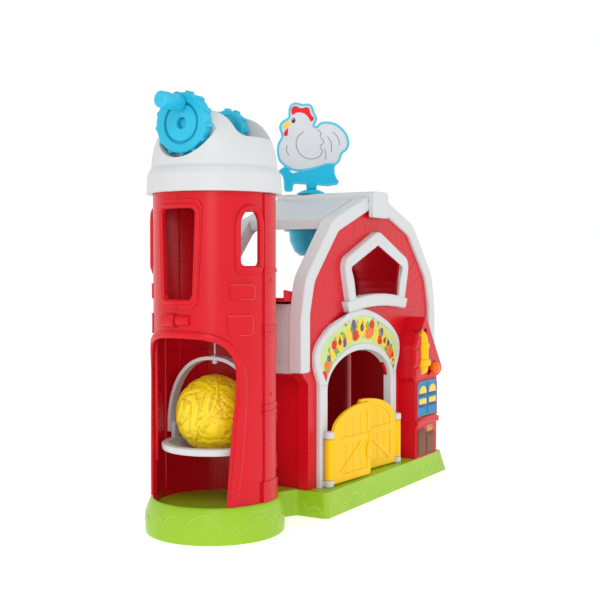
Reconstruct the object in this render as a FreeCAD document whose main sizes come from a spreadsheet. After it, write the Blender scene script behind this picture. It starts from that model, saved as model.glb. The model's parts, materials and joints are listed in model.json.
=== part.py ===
import FreeCAD, Part
import Sketcher
import math
import os
from FreeCAD import Vector, Rotation, Placement

# Toy farm playset: a round silo with a crank-operated ball lift beside a gambrel-roofed barn.
# Millimetres. +Z up, the barn's facade faces -Y, the silo stands at the -X end.
# Barn pieces are drawn from the front left corner of the barn's base, silo pieces from the silo's axis.

doc = FreeCAD.newDocument("toy_farm_playset")
sheet = doc.addObject("Spreadsheet::Sheet", "Params")
P = {}
_row = [0]


def cell(alias, value, note=""):
    _row[0] += 1
    r = _row[0]
    sheet.set("A%d" % r, note or alias)
    sheet.set("B%d" % r, repr(float(value)))
    sheet.setAlias("B%d" % r, alias)
    P[alias] = float(value)


CELLS = [
    ("shift_x", -63.9, "row origin: middle of the whole object in X"),
    ("shift_y", -61.15, "row origin: middle of the whole object in Y"),
    ("silo_x", -74.8, "silo axis from the barn corner"),
    ("silo_y", 67.8, "silo axis from the barn corner"),
    ("wall", 2.5, "moulded wall"),
    ("base_height", 22.7, "height of both green bases"),
    ("base_long", 270.5, "barn base, front edge"),
    ("base_deep", 130.0, "barn base, front to back"),
    ("silo_base_rad", 59.2, "silo base"),
    ("shell_rad", 51.8, "silo shell outside"),
    ("shell_inner", 49.3, "silo shell inside"),
    ("shell_top", 288.0, "silo shell upper edge, under the dome's brim"),
    ("brim_rad", 57.0, "dome brim"),
    ("brim_low", 284.0, "dome brim lower edge"),
    ("brim_high", 304.0, "dome brim upper edge"),
    ("axle_height", 339.4, "crank axle"),
    ("axle_rad", 3.0, "crank axle"),
    ("bush_rad", 4.5, "axle bushes outside"),
    ("wheel_rad", 24.6, "crank wheel without lugs"),
    ("wheel_lug_rad", 26.2, "crank wheel over the lugs"),
    ("wheel_front", -47.7, "crank wheel outer face"),
    ("wheel_back", -37.2, "crank wheel inner face"),
    ("spur_rad", 18.2, "inner wheel without lugs"),
    ("spur_lug_rad", 19.7, "inner wheel over the lugs"),
    ("spur_near", 16.0, "inner wheel near face"),
    ("spur_far", 24.3, "inner wheel far face"),
    ("grip_off", 15.4, "crank grip axis from the axle"),
    ("grip_rad", 6.6, "crank grip"),
    ("grip_tip", -74.5, "crank grip outer end"),
    ("drum_rad", 8.0, "hoist drum core"),
    ("drum_flange", 10.6, "hoist drum flanges"),
    ("cord_rad", 0.9, "hoist cord"),
    ("guide_height", 320.0, "cord guide eye"),
    ("rim_high", 29.0, "raised rim of the silo base around the shell"),
    ("garden_front", 16.6, "front face of the garden arch"),
    ("garden_back", 25.4, "rear edge of the garden arch's jambs"),
    ("frame_front", 14.8, "front face of the hayloft frame"),
    ("sill_front", 14.2, "front face of the hayloft sill"),
    ("barrel_rad", 4.1, "gate hinge barrels"),
    ("band_high", 1.2, "raised bands on the shell"),
    ("win_low", 196.8, "tall window lower edge"),
    ("win_high", 270.2, "tall window upper edge"),
    ("side_low", 224.0, "side window lower edge"),
    ("side_high", 269.0, "side window crown"),
    ("exit_low", 196.0, "ball exit lower edge"),
    ("exit_high", 272.0, "ball exit crown"),
    ("exit_half", 37.0, "ball exit half width"),
    ("ring_rad", 45.5, "lift platform ring"),
    ("ring_inner", 38.0, "lift platform ring inside"),
    ("ring_low", 69.0, "lift platform ring lower edge as photographed"),
    ("ring_high", 75.0, "lift platform ring upper edge"),
    ("floor_high", 70.8, "lift platform floor, top"),
    ("floor_hole", 11.5, "hole at the middle of the dished floor, where the ball nests"),
    ("dish_high", 66.08, "dished floor's top edge at the hole"),
    ("tilt_height", 85.0, "platform pivots in the hoop"),
    ("hoop_out", 47.6, "lift hoop half width outside"),
    ("hoop_top", 147.2, "lift hoop crown"),
    ("hoop_thick", 3.0, "lift hoop strap"),
    ("hoop_wide", 9.0, "lift hoop strap width"),
    ("ball_rad", 34.0, "hay ball"),
    ("ball_height", 98.1, "hay ball centre as photographed"),
    ("roof_mid", 131.5, "middle of the barn's front"),
    ("trim_front", 18.0, "front face of the white trim"),
    ("red_front", 21.5, "front face of the red facade"),
    ("arch_back", 31.5, "rear edge of the front roof arch"),
    ("rear_arch_front", 112.0, "front edge of the rear roof arch"),
    ("rear_arch_back", 124.0, "rear edge of the rear roof arch"),
    ("hayloft_low", 195.5, "hayloft window opening, lower edge"),
    ("garden_mid", 97.0, "garden arch middle"),
    ("garden_half", 79.0, "garden arch half width outside, at the posts"),
    ("garden_open", 66.3, "garden arch opening half width"),
    ("gate_left_x", 24.8, "left gate hinge axis"),
    ("gate_right_x", 166.5, "right gate hinge axis"),
    ("gate_hinge_y", 12.2, "gate hinge axes"),
    ("gate_long", 69.8, "gate, hinge axis to free edge"),
    ("gate_thick", 4.0, "gate panel"),
    ("gate_low", 24.0, "gate lower edge"),
    ("gate_high", 94.5, "gate upper edge"),
    ("gate_open_left", 4.6, "left gate opened outward as photographed, degrees"),
    ("gate_open_right", 6.4, "right gate pushed inward as photographed, degrees"),
    ("pin_rad", 1.6, "gate hinge pins"),
    ("house_left", 192.6, "house front, left edge"),
    ("house_right", 246.8, "house front, right edge"),
    ("house_front", 2.2, "house front face"),
    ("vane_x", 131.0, "weathervane axis"),
    ("vane_y", 92.4, "weathervane axis"),
    ("vane_turn", -59.9, "weathervane direction as photographed, degrees"),
    ("post_rad", 4.0, "weathervane spindle"),
    ("ridge_high", 297.0, "roof ridge band, top"),
    ("bowl_flange", 28.3, "housing under the ridge, flange"),
    ("bowl_rad", 23.0, "housing under the ridge"),
    ("spin_x", 210.0, "yellow roller axis"),
    ("spin_y", 4.0, "yellow roller axis"),
    ("knob_x", 231.4, "orange slider knob"),
    ("knob_z", 115.3, "orange slider knob"),
    ("knob_rad", 6.5, "orange slider knob"),
    ("knob_travel", 6.5, "slider knob travel each way"),
    ("knob_slope", 37.0, "slider slot direction, degrees above +X"),
]
for c in CELLS:
    cell(*c)
doc.recompute()


class Q:
    """A size with the sheet expression that drives it."""

    def __init__(self, val, txt=None):
        self.val = float(val)
        self.txt = txt if txt is not None else "%.6g" % float(val)

    def _o(self, other):
        return other if isinstance(other, Q) else Q(other)

    def __add__(self, o):
        o = self._o(o)
        return Q(self.val + o.val, "(%s + %s)" % (self.txt, o.txt))

    __radd__ = __add__

    def __sub__(self, o):
        o = self._o(o)
        return Q(self.val - o.val, "(%s - %s)" % (self.txt, o.txt))

    def __rsub__(self, o):
        return self._o(o).__sub__(self)

    def __mul__(self, o):
        o = self._o(o)
        return Q(self.val * o.val, "(%s * %s)" % (self.txt, o.txt))

    __rmul__ = __mul__

    def __neg__(self):
        return Q(-self.val, "(0 - %s)" % self.txt)


def q(alias):
    return Q(P[alias], "Params." + alias)


NODES = []      # sub-parts in the order they are written


def place(obj, frame, rot=None, at=None):
    """Puts a sub-part in the row frame. frame: silo, barn or vane; at: extra offset."""
    if frame == "silo":
        x, y = q("shift_x") + q("silo_x"), q("shift_y") + q("silo_y")
    elif frame == "vane":
        x, y = q("shift_x") + q("vane_x"), q("shift_y") + q("vane_y")
    else:
        x, y = q("shift_x") + 0.0, q("shift_y") + 0.0
    z = Q(0.0)
    if at is not None:
        x, y, z = x + at[0], y + at[1], z + at[2]
    obj.Placement = Placement(Vector(x.val, y.val, z.val), rot if rot is not None else Rotation())
    obj.setExpression("Placement.Base.x", x.txt)
    obj.setExpression("Placement.Base.y", y.txt)
    obj.setExpression("Placement.Base.z", z.txt)


def feature(name, shape, frame="barn", rot=None, at=None):
    obj = doc.addObject("Part::Feature", name)
    obj.Label = name
    obj.Shape = shape
    place(obj, frame, rot, at)
    NODES.append(obj)
    return obj


def new_body(name, frame, rot=None, at=None):
    body = doc.addObject("PartDesign::Body", name)
    body.Label = name
    place(body, frame, rot, at)
    NODES.append(body)
    return body


def plane(body, role):
    for f in body.Origin.OriginFeatures:
        if f.Role == role:
            return f


def poly_sketch(body, name, role, pts):
    """Closed outline whose corners are bound to the sheet."""
    sk = body.newObject("Sketcher::SketchObject", name)
    sk.AttachmentSupport = [(plane(body, role), "")]
    sk.MapMode = "FlatFace"
    pts = [(p[0] if isinstance(p[0], Q) else Q(p[0]), p[1] if isinstance(p[1], Q) else Q(p[1])) for p in pts]
    n = len(pts)
    for i in range(n):
        a, b = pts[i], pts[(i + 1) % n]
        sk.addGeometry(Part.LineSegment(Vector(a[0].val, a[1].val, 0), Vector(b[0].val, b[1].val, 0)), False)
    for i in range(n):
        sk.addConstraint(Sketcher.Constraint("Coincident", i, 2, (i + 1) % n, 1))
    for i in range(n):
        for kind, k in (("DistanceX", 0), ("DistanceY", 1)):
            v = pts[i][k]
            if abs(v.val) < 1e-9:
                sk.addConstraint(Sketcher.Constraint("PointOnObject", i, 1, -2 if k == 0 else -1))
                continue
            if v.val > 0:
                c = sk.addConstraint(Sketcher.Constraint(kind, -1, 1, i, 1, v.val))
                t = v.txt
            else:
                c = sk.addConstraint(Sketcher.Constraint(kind, i, 1, -1, 1, -v.val))
                t = "0 - (%s)" % v.txt
            cname = "%s%d" % ("px" if k == 0 else "py", i)
            sk.renameConstraint(c, cname)
            if "Params." in t:
                sk.setExpression("Constraints." + cname, t)
    return sk


def circle_sketch(body, name, role, centres, rad):
    sk = body.newObject("Sketcher::SketchObject", name)
    sk.AttachmentSupport = [(plane(body, role), "")]
    sk.MapMode = "FlatFace"
    rad = rad if isinstance(rad, Q) else Q(rad)
    for i, (x, y) in enumerate(centres):
        x = x if isinstance(x, Q) else Q(x)
        y = y if isinstance(y, Q) else Q(y)
        g = sk.addGeometry(Part.Circle(Vector(x.val, y.val, 0), Vector(0, 0, 1), rad.val), False)
        c = sk.addConstraint(Sketcher.Constraint("Radius", g, rad.val))
        sk.renameConstraint(c, "rad%d" % i)
        if "Params." in rad.txt:
            sk.setExpression("Constraints.rad%d" % i, rad.txt)
        for kind, v, tag in (("DistanceX", x, "cx"), ("DistanceY", y, "cy")):
            if abs(v.val) < 1e-9:
                sk.addConstraint(Sketcher.Constraint("PointOnObject", g, 3, -2 if tag == "cx" else -1))
                continue
            if v.val > 0:
                c = sk.addConstraint(Sketcher.Constraint(kind, -1, 1, g, 3, v.val))
                t = v.txt
            else:
                c = sk.addConstraint(Sketcher.Constraint(kind, g, 3, -1, 1, -v.val))
                t = "0 - (%s)" % v.txt
            sk.renameConstraint(c, "%s%d" % (tag, i))
            if "Params." in t:
                sk.setExpression("Constraints.%s%d" % (tag, i), t)
    return sk


def turned(name, pts, frame, rot=None, at=None):
    """A turned piece: radius, height outline in the XZ plane about its own Z."""
    body = new_body(name, frame, rot, at)
    sk = poly_sketch(body, name + "_profile", "XZ_Plane", pts)
    rev = body.newObject("PartDesign::Revolution", name + "_turn")
    rev.Profile = sk
    rev.ReferenceAxis = (sk, ["V_Axis"])
    rev.Angle = 360.0
    doc.recompute()
    return body


def padded_body(name, pts, role, length, frame, rot=None, at=None, mid=False, rev=False):
    body = new_body(name, frame, rot, at)
    sk = poly_sketch(body, name + "_outline", role, pts)
    pad = body.newObject("PartDesign::Pad", name + "_pad")
    pad.Profile = sk
    L = length if isinstance(length, Q) else Q(length)
    pad.Length = L.val
    if "Params." in L.txt:
        pad.setExpression("Length", L.txt)
    pad.Midplane = mid
    pad.Reversed = rev
    doc.recompute()
    return body


def pocket(body, sk, length, rev=False, through=False, name=None):
    before = body.Shape.Volume
    pk = body.newObject("PartDesign::Pocket", name or (body.Name + "_pocket%d" % len(body.Group)))
    pk.Profile = sk
    if through:
        pk.Type = "ThroughAll"
        pk.Midplane = True
    else:
        L = length if isinstance(length, Q) else Q(length)
        pk.Length = L.val
        if "Params." in L.txt:
            pk.setExpression("Length", L.txt)
        pk.Reversed = rev
    doc.recompute()
    if not body.Shape.Volume < before - 1e-6:
        raise RuntimeError("pocket cuts nothing in " + body.Name)
    return pk


AX = Rotation(Vector(0, 1, 0), 90)      # a turned piece laid along +X
Zv, Xv, Yv = Vector(0, 0, 1), Vector(1, 0, 0), Vector(0, 1, 0)


def box(x0, x1, y0, y1, z0, z1):
    return Part.makeBox(x1 - x0, y1 - y0, z1 - z0, Vector(x0, y0, z0))


def cyl(r, p, d, h):
    return Part.makeCylinder(r, h, p, d)


def poly_face(pts, closed=True):
    w = Part.makePolygon([Vector(*p) for p in pts] + [Vector(*pts[0])])
    return Part.Face(w)


def spline_wire(pts, straight_close=True):
    bs = Part.BSplineCurve()
    bs.interpolate([Vector(*p) for p in pts])
    e = bs.toShape()
    if straight_close:
        return Part.Wire([e, Part.makeLine(Vector(*pts[-1]), Vector(*pts[0]))])
    return Part.Wire([e])


def rounded_outline(pts, radii):
    """Closed wire through the corners pts with arcs of the given radii."""
    n = len(pts)
    V = [Vector(*p) for p in pts]
    starts, ends, mids = [], [], []
    for i in range(n):
        a, b, c = V[i - 1], V[i], V[(i + 1) % n]
        r = radii[i] if isinstance(radii, (list, tuple)) else radii
        u, w = (a - b), (c - b)
        u.normalize()
        w.normalize()
        ang = math.acos(max(-1, min(1, u.dot(w))))
        if r < 1e-6 or abs(math.pi - ang) < 1e-4:
            starts.append(b), ends.append(b), mids.append(None)
            continue
        d = r / math.tan(ang / 2)
        bis = u + w
        bis.normalize()
        cen = b + bis * (r / math.sin(ang / 2))
        starts.append(b + u * d)
        ends.append(b + w * d)
        mids.append(cen - bis * r)
    edges = []
    for i in range(n):
        if mids[i] is not None:
            edges.append(Part.Arc(starts[i], mids[i], ends[i]).toShape())
        s, e = ends[i], starts[(i + 1) % n]
        if (s - e).Length > 1e-5:
            edges.append(Part.makeLine(s, e))
    return Part.Wire(edges)


def plate(wire, direction):
    return Part.Face(wire).extrude(direction)


def xz(pts, y):
    return [(p[0], y, p[1]) for p in pts]


def rounded(shape, rad, axis, values, skip=None, tol=1e-3):
    """Rounds the edges that lie in the planes axis = value; steps the radius down where the full one doesn't fit."""
    def picked(s):
        out = []
        for e in s.Edges:
            b = e.BoundBox
            lo, hi = {"x": (b.XMin, b.XMax), "y": (b.YMin, b.YMax), "z": (b.ZMin, b.ZMax)}[axis]
            if any(abs(lo - v) < tol + 0.02 and abs(hi - v) < tol + 0.02 for v in values):
                if skip is None or not skip(b, e):
                    out.append(e)
        return out
    for k in (1.0, 0.75, 0.5, 0.3):
        try:
            es = picked(shape)
            if not es:
                print("rounded: no edges", axis, values)
                return shape
            f = shape.makeFillet(rad * k, es)
            if f.isValid() and len(f.Solids) == len(shape.Solids) and f.Volume > 0:
                if k < 1.0:
                    print("rounded: radius cut to", rad * k, axis, values)
                return f
        except Exception as ex:
            pass
    print("rounded: failed", axis, values, rad)
    return shape


# ---------------------------------------------------------------- sizes used by name below
W = P["wall"]
H0 = P["base_height"]
RO, RI = P["shell_rad"], P["shell_inner"]
ZA = P["axle_height"]

# ---------------------------------------------------------------- silo base
turned("silo_base", [
    (q("silo_base_rad") - 0.4, 0), (q("silo_base_rad"), 3.0), (q("silo_base_rad"), 9.0), (q("silo_base_rad") - 0.4, 15.0),
    (q("silo_base_rad") - 1.2, 19.4), (q("silo_base_rad") - 2.2, 23.0), (q("silo_base_rad") - 3.2, 25.8),
    (q("silo_base_rad") - 4.5, q("rim_high") - 1.1), (q("silo_base_rad") - 5.9, q("rim_high") - 0.15),
    (q("shell_rad") + 0.8, q("rim_high")), (q("shell_rad") + 0.2, q("rim_high") - 0.6), (q("shell_rad") + 0.2, q("base_height")),
    (0, q("base_height")), (0, q("base_height") - q("wall")),
    (q("silo_base_rad") - 4.6, q("base_height") - q("wall")), (q("silo_base_rad") - 3.2, 14.4),
    (q("silo_base_rad") - 2.7, 8.0), (q("silo_base_rad") - 2.9, 0)], "silo")

# ---------------------------------------------------------------- barn base, with the neck that meets the silo base
bl, bd = P["base_long"], P["base_deep"]
sx, sy = P["silo_x"], P["silo_y"]


def base_outline(z, inset, neck):
    i = inset
    k = neck
    pts = [(i, i, z), (bl - i * 5.6, i, z), (bl - i * 5.6, bd - i, z), (i, bd - i, z),
           (i, sy + 36 - k, z), (-12.0, sy + 30 - k, z), (-30.0, sy + 27 - k, z),
           (-30.0, sy - 27 + k, z), (-12.0, sy - 30 + k, z), (i, sy - 36 + k, z)]
    r = [5, 6, 6, 5, 6, 5, 0, 0, 5, 6]
    return rounded_outline(pts, r)


b_out = Part.makeLoft([base_outline(0, 0.0, 0.0), base_outline(H0, 2.0, 2.0)], True, True)
b_in = Part.makeLoft([base_outline(-0.01, 2.5, 2.5), base_outline(H0 - W, 4.3, 4.3)], True, True)
b_solid = b_out.cut(b_in)
for x in (60.0, 130.0, 200.0):
    b_solid = b_solid.fuse(box(x - 1, x + 1, 3.5, bd - 3.5, 0.0, H0 - W + 0.2))
b_solid = b_solid.cut(cyl(P["silo_base_rad"] + 0.15, Vector(sx, sy, -1), Zv, H0 + 2)).removeSplitter()
feature("barn_base", b_solid, "barn")

# ---------------------------------------------------------------- silo shell


def sector(r0, r1, z0, z1, a0, a1):
    """Ring sector between two azimuths in degrees."""
    s = cyl(r1, Vector(0, 0, z0), Zv, z1 - z0).cut(cyl(r0, Vector(0, 0, z0 - 1), Zv, z1 - z0 + 2))
    m = (a0 + a1) / 2
    h = abs(a1 - a0) / 2
    far = 90.0
    tri = poly_face([(0, 0, z0 - 1),
                     (far * math.cos(math.radians(m - h)), far * math.sin(math.radians(m - h)), z0 - 1),
                     (far * 1.6 * math.cos(math.radians(m)), far * 1.6 * math.sin(math.radians(m)), z0 - 1),
                     (far * math.cos(math.radians(m + h)), far * math.sin(math.radians(m + h)), z0 - 1)])
    return s.common(tri.extrude(Vector(0, 0, z1 - z0 + 2)))


def flared(pts, low, high):
    """Outline in (angle, z) space whose width goes from low to high times its own between the window's edges."""
    z0, z1 = P["win_low"], P["win_high"]
    return [(a * (low + (high - low) * (z - z0) / (z1 - z0)), z) for a, z in pts]


def radial_prism(outline, az, smooth=False):
    """Outline of (half-angle degrees, z) points, pushed out radially at azimuth az."""
    pts = [Vector(10.0, RO * math.sin(math.radians(a)), z) for a, z in outline]
    if smooth:
        bs = Part.BSplineCurve()
        bs.interpolate(pts)
        w = Part.Wire([bs.toShape(), Part.makeLine(pts[-1], pts[0])])
    else:
        w = Part.makePolygon(pts + [pts[0]])
    s = Part.Face(w).extrude(Vector(60, 0, 0))
    s.rotate(Vector(0, 0, 0), Zv, az)
    return s


def rounded_pts(a0, a1, z0, z1, ra, rz, n=6, top=None):
    """Rounded rectangle in (angle, z) space."""
    out = []
    for cx_, cz_, s in ((a1 - ra, z0 + rz, -90), (a1 - ra, z1 - rz, 0), (a0 + ra, z1 - rz, 90), (a0 + ra, z0 + rz, 180)):
        for i in range(n + 1):
            t = math.radians(s + 90.0 * i / n)
            out.append((cx_ + ra * math.cos(t), cz_ + rz * math.sin(t)))
    return out


DOOR_IN = [(46.4, 28.0), (48.5, 57.0), (52.1, 94.0), (54.6, 113.0), (55.7, 127.0), (55.6, 138.0), (54.3, 145.0), (51.9, 150.6),
           (48.4, 156.0), (43.4, 160.7), (35.5, 163.9), (24.0, 165.6), (12.0, 166.0), (0.0, 166.1)]
DOOR_OUT = [(56.5, 30.0), (60.3, 56.0), (63.2, 82.0), (65.1, 106.0), (66.0, 126.0), (65.3, 136.0), (63.2, 142.8), (59.8, 148.8),
            (55.2, 154.4), (48.8, 160.4), (39.0, 166.2), (26.5, 170.0), (13.0, 171.5), (0.0, 171.8)]


def door_pts(half, floor):
    """Closed door outline from its right half, measured upwards from the base."""
    right = [(half[0][0] - 0.3, floor)] + half
    return right + [(-a, z) for a, z in reversed(right[:-1])]


def arch_pts(half, z0, z1, corner, n=10):
    """Flat-bottomed window with a round head."""
    out = []
    for s in (1, -1):
        side = []
        for i in range(5):
            t = math.radians(-90 + 90.0 * i / 4)
            side.append((half - corner * 0.9 + corner * 0.9 * math.cos(t), z0 + corner + corner * math.sin(t)))
        for i in range(n + 1):
            t = math.radians(90.0 * i / n)
            side.append((half * math.cos(t) ** 0.9 if i < n else 0.0, z1 - half * 1.25 + half * 1.25 * math.sin(t)))
        out += side if s > 0 else [(-a, z) for a, z in reversed(side[:-1])]
    return out


tube = cyl(RO, Vector(0, 0, H0), Zv, P["shell_top"] - H0)
ZR = P["rim_high"] + 0.15
raised = cyl(RO + P["band_high"], Vector(0, 0, ZR), Zv, 278.3 - ZR)
thin = cyl(RO + 1.1, Vector(0, 0, ZR), Zv, 278.3 - ZR)
shell = tube
# raised surrounds of the door and the windows
shell = shell.fuse(raised.common(radial_prism(door_pts(DOOR_OUT, H0 - 1), 180, True)))
shell = shell.fuse(raised.common(radial_prism(flared(rounded_pts(-22.8, 22.8, P["win_low"] - 7.5, P["win_high"] + 7.5, 8, 8), 0.92, 1.1), 180)))
for az in (-111, 111):
    shell = shell.fuse(raised.common(radial_prism(arch_pts(15.8, P["side_low"] - 6.5, P["side_high"] + 5, 6), az)))
# round corner ribs with their rings and feet
for az in (-83, 83):
    shell = shell.fuse(sector(RI, RO + 1.5, ZR, 283.0, az - 11.5, az + 11.5))
    for z, hh in ((220.5, 1.6), (173.6, 1.3), (168.2, 1.3), (108.6, 1.3), (102.8, 1.3)):
        shell = shell.fuse(sector(RI, RO + 2.2, z - hh, z + hh, az - 12.5, az + 12.5))
    shell = shell.fuse(sector(RI, RO + 2.4, ZR, 46.0, az - 14.5, az + 14.5))
# brick reliefs
for az, z0, z1 in ((-119, 196.5, 209.0), (-121, 167.5, 184.0), (119, 196.5, 209.0), (121, 167.5, 184.0)):
    shell = shell.fuse(thin.common(radial_prism(rounded_pts(-12.5, 12.5, z0, z1, 3, 3), az)))
for az, z0, z1 in ((-62, 150, 163), (62, 150, 163), (-60, 92, 108), (60, 92, 108), (-58, 52, 66), (58, 52, 66)):
    shell = shell.fuse(thin.common(radial_prism(rounded_pts(-9, 9, z0, z1, 3, 3), az)))
# latch relief between the door and the tall window
shell = shell.fuse(raised.common(radial_prism(rounded_pts(-16.5, -0.2, 174.5, 185.0, 2.5, 3.0), 180)))
shell = shell.fuse(raised.common(radial_prism(rounded_pts(0.2, 12.6, 177.0, 183.4, 2, 2), 180)))
shell = shell.cut(cyl(RI, Vector(0, 0, H0 - 1), Zv, 300))
# openings
shell = shell.cut(radial_prism(door_pts(DOOR_IN, H0 - 1.5), 180, True))
shell = shell.cut(radial_prism(flared(rounded_pts(-17.0, 17.0, P["win_low"], P["win_high"], 4.5, 4.5), 0.91, 1.09), 180))
for az in (-111, 111):
    shell = shell.cut(radial_prism(arch_pts(10.4, P["side_low"], P["side_high"], 4), az))
exit_deg = math.degrees(math.asin(P["exit_half"] / RO))
shell = shell.cut(radial_prism(arch_pts(exit_deg, P["exit_low"], P["exit_high"], 5), 0))
# locating lugs inside that the dome's screws reach
front = shell.common(box(-80, 80, -80, -0.12, 0, 400))
back = shell.common(box(-80, 80, 0.12, 80, 0, 400))


def single(s, name):
    if len(s.Solids) == 1:
        return s.Solids[0]
    big = sorted(s.Solids, key=lambda k: -k.Volume)
    if len(big) > 1 and big[1].Volume > 0.5:
        print("WARNING", name, "has", len(big), "solids", [round(b.Volume, 1) for b in big[:5]])
    return big[0]


feature("silo_shell_front", single(front, "silo_shell_front"), "silo")
feature("silo_shell_back", single(back, "silo_shell_back"), "silo")

# ---------------------------------------------------------------- silo dome


def dome_solid(off):
    b0, b1, br = P["brim_low"], P["brim_high"], P["brim_rad"]
    crown = [(53.0, 305.6), (50.8, 322.0), (45.8, 334.5), (40.0, 343.0), (32.0, 349.6), (23.0, 353.6), (12.0, 356.8), (0.0, 358.0)]
    pts = []
    for i, (r, z) in enumerate(crown):
        # offset towards the inside, along a rough normal
        nz = min(1.0, max(0.0, (z - 300) / 58.0)) ** 1.4
        nr = math.sqrt(max(0.0, 1 - nz * nz))
        pts.append((max(0.0, r - off * nr), 0, z - off * nz))
    bs = Part.BSplineCurve()
    bs.interpolate([Vector(*p) for p in pts])
    e = [bs.toShape()]
    if off == 0:
        low = [(0, 0, b0), (br, 0, b0), (br - 0.5, 0, b1 - 5.0), (br - 2.0, 0, b1 - 1.2), pts[0]]
    else:
        low = [(0, 0, b0 - 1), (RO + 0.5, 0, b0 - 1), (RO + 0.5, 0, 300.0), (pts[0][0], 0, 302.0), pts[0]]
    poly = [Part.makeLine(Vector(*low[i]), Vector(*low[i + 1])) for i in range(len(low) - 1)]
    axis = Part.makeLine(Vector(*pts[-1]), Vector(*low[0]))
    w = Part.Wire(Part.__sortEdges__(poly + e + [axis]))
    return Part.Face(w).revolve(Vector(0, 0, 0), Zv, 360)


def trough(grow):
    """The open trough across the dome: fillet-cornered, along Y."""
    x0, x1, z0 = -25.0 - grow, 27.0 + grow, 329.0 - grow
    r = 7.0 + grow
    w = rounded_outline([(x0, -80, z0), (x1, -80, z0), (x1, -80, 380), (x0, -80, 380)], [r, 3 + grow, 0, 0])
    return plate(w, Vector(0, 160, 0))


def scoop(grow):
    r = 28.2 + grow
    c = cyl(r, Vector(-36.0 + grow, 0, ZA), Vector(-1, 0, 0), 40)
    return c.fuse(box(-76.0 + grow, -36.0 + grow, -r, r, ZA, ZA + 60))


outer = dome_solid(0).cut(scoop(0)).cut(trough(0))
inner = dome_solid(W).cut(scoop(W)).cut(trough(W))
dome = outer.cut(inner)
# bearing bosses for the axle
dome = dome.fuse(cyl(7.2, Vector(-36.0, 0, ZA), Xv, 11.0))
dome = dome.fuse(cyl(7.2, Vector(27.0, 0, ZA), Xv, 8.0))
# window in the trough's floor that clears the drum, the cord and the inner wheel
dome = dome.cut(box(-13.5, 25.2, -25.5, 25.5, 322, 331))
dome = dome.cut(cyl(P["bush_rad"], Vector(-38.0, 0, ZA), Xv, 14.0))
dome = dome.cut(cyl(P["bush_rad"], Vector(26.0, 0, ZA), Xv, 7.5))
# lugs on the inside of the trough's floor that carry the cord guide
for s in (-1, 1):
    dome = dome.fuse(box(-20.5, -15.5, s * 12.0 - 3.0, s * 12.0 + 3.0, 323.0, 327.2))
dome = dome.removeSplitter()
feature("silo_dome", single(dome, "silo_dome"), "silo")

# ---------------------------------------------------------------- crank and hoist
turned("axle_bush_front", [(q("axle_rad") + 0.06, -36.7), (q("bush_rad"), -36.7), (q("bush_rad"), -24.2),
                           (q("axle_rad") + 0.06, -24.2)], "silo", AX, (0, 0, q("axle_height")))
turned("axle_bush_rear", [(q("axle_rad") + 0.06, 26.2), (q("bush_rad"), 26.2), (q("bush_rad"), 33.2),
                          (q("axle_rad") + 0.06, 33.2)], "silo", AX, (0, 0, q("axle_height")))
turned("crank_axle", [(0, q("wheel_front") + 7.4), (q("axle_rad"), q("wheel_front") + 7.4), (q("axle_rad"), 32.6), (0, 32.6)],
       "silo", AX, (0, 0, q("axle_height")))

# crank wheel: deep tyre, recessed web with a groove, hub with a screw recess
wf, wb = q("wheel_front"), q("wheel_back")
wheel = turned("crank_wheel", [
    (q("axle_rad"), wf + 7.4), (4.6, wf + 7.4), (4.6, wf + 1.7), (5.4, wf + 0.9), (14.4, wf + 0.9), (15.0, wf + 1.5), (15.0, wf + 3.4),
    (17.0, wf + 3.4), (17.0, wf + 1.3), (17.6, wf + 0.7), (q("wheel_rad") - 1.4, wf), (q("wheel_rad") - 0.4, wf + 0.4), (q("wheel_rad"), wf + 1.4),
    (q("wheel_rad"), wb - 1.2), (q("wheel_rad") - 1.2, wb), (19.0, wb), (19.0, wb - 3.6), (6.6, wb - 3.6), (6.6, wb + 0.2), (q("axle_rad"), wb + 0.2)],
    "silo", AX, (0, 0, q("axle_height")))
sk = poly_sketch(wheel, "crank_wheel_lug", "XY_Plane", [
    (q("wheel_rad") - 1.4, -2.2), (q("wheel_lug_rad"), -1.6), (q("wheel_lug_rad"), 1.6), (q("wheel_rad") - 1.4, 2.2)])
sk.AttachmentOffset = Placement(Vector(0, 0, P["wheel_front"] + 1.6), Rotation())
sk.setExpression("AttachmentOffset.Base.z", "Params.wheel_front + 1.6")
lug = wheel.newObject("PartDesign::Pad", "crank_wheel_lug_pad")
lug.Profile = sk
lug.Length = P["wheel_back"] - P["wheel_front"] - 3.2
lug.setExpression("Length", "Params.wheel_back - Params.wheel_front - 3.2")
doc.recompute()
pat = wheel.newObject("PartDesign::PolarPattern", "crank_wheel_lugs")
pat.Originals = [lug]
pat.Axis = (sk, ["N_Axis"])
pat.Angle = 360.0
pat.Occurrences = 13
wheel.Tip = pat
doc.recompute()

nf, nb = q("spur_near"), q("spur_far")
spur = turned("inner_wheel", [
    (q("axle_rad"), nf - 2.0), (6.0, nf - 2.0), (6.0, nf + 1.2), (14.0, nf + 1.2), (14.0, nf), (q("spur_rad") - 1.0, nf),
    (q("spur_rad"), nf + 1.0), (q("spur_rad"), nb - 1.0), (q("spur_rad") - 1.0, nb), (14.0, nb), (14.0, nb - 1.2),
    (6.0, nb - 1.2), (6.0, nb), (q("axle_rad"), nb)], "silo", AX, (0, 0, q("axle_height")))
sk = poly_sketch(spur, "inner_wheel_lug", "XY_Plane", [
    (q("spur_rad") - 1.2, -2.1), (q("spur_lug_rad"), -1.5), (q("spur_lug_rad"), 1.5), (q("spur_rad") - 1.2, 2.1)])
sk.AttachmentOffset = Placement(Vector(0, 0, P["spur_near"] + 1.2), Rotation())
sk.setExpression("AttachmentOffset.Base.z", "Params.spur_near + 1.2")
lug = spur.newObject("PartDesign::Pad", "inner_wheel_lug_pad")
lug.Profile = sk
lug.Length = P["spur_far"] - P["spur_near"] - 2.4
lug.setExpression("Length", "Params.spur_far - Params.spur_near - 2.4")
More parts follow.
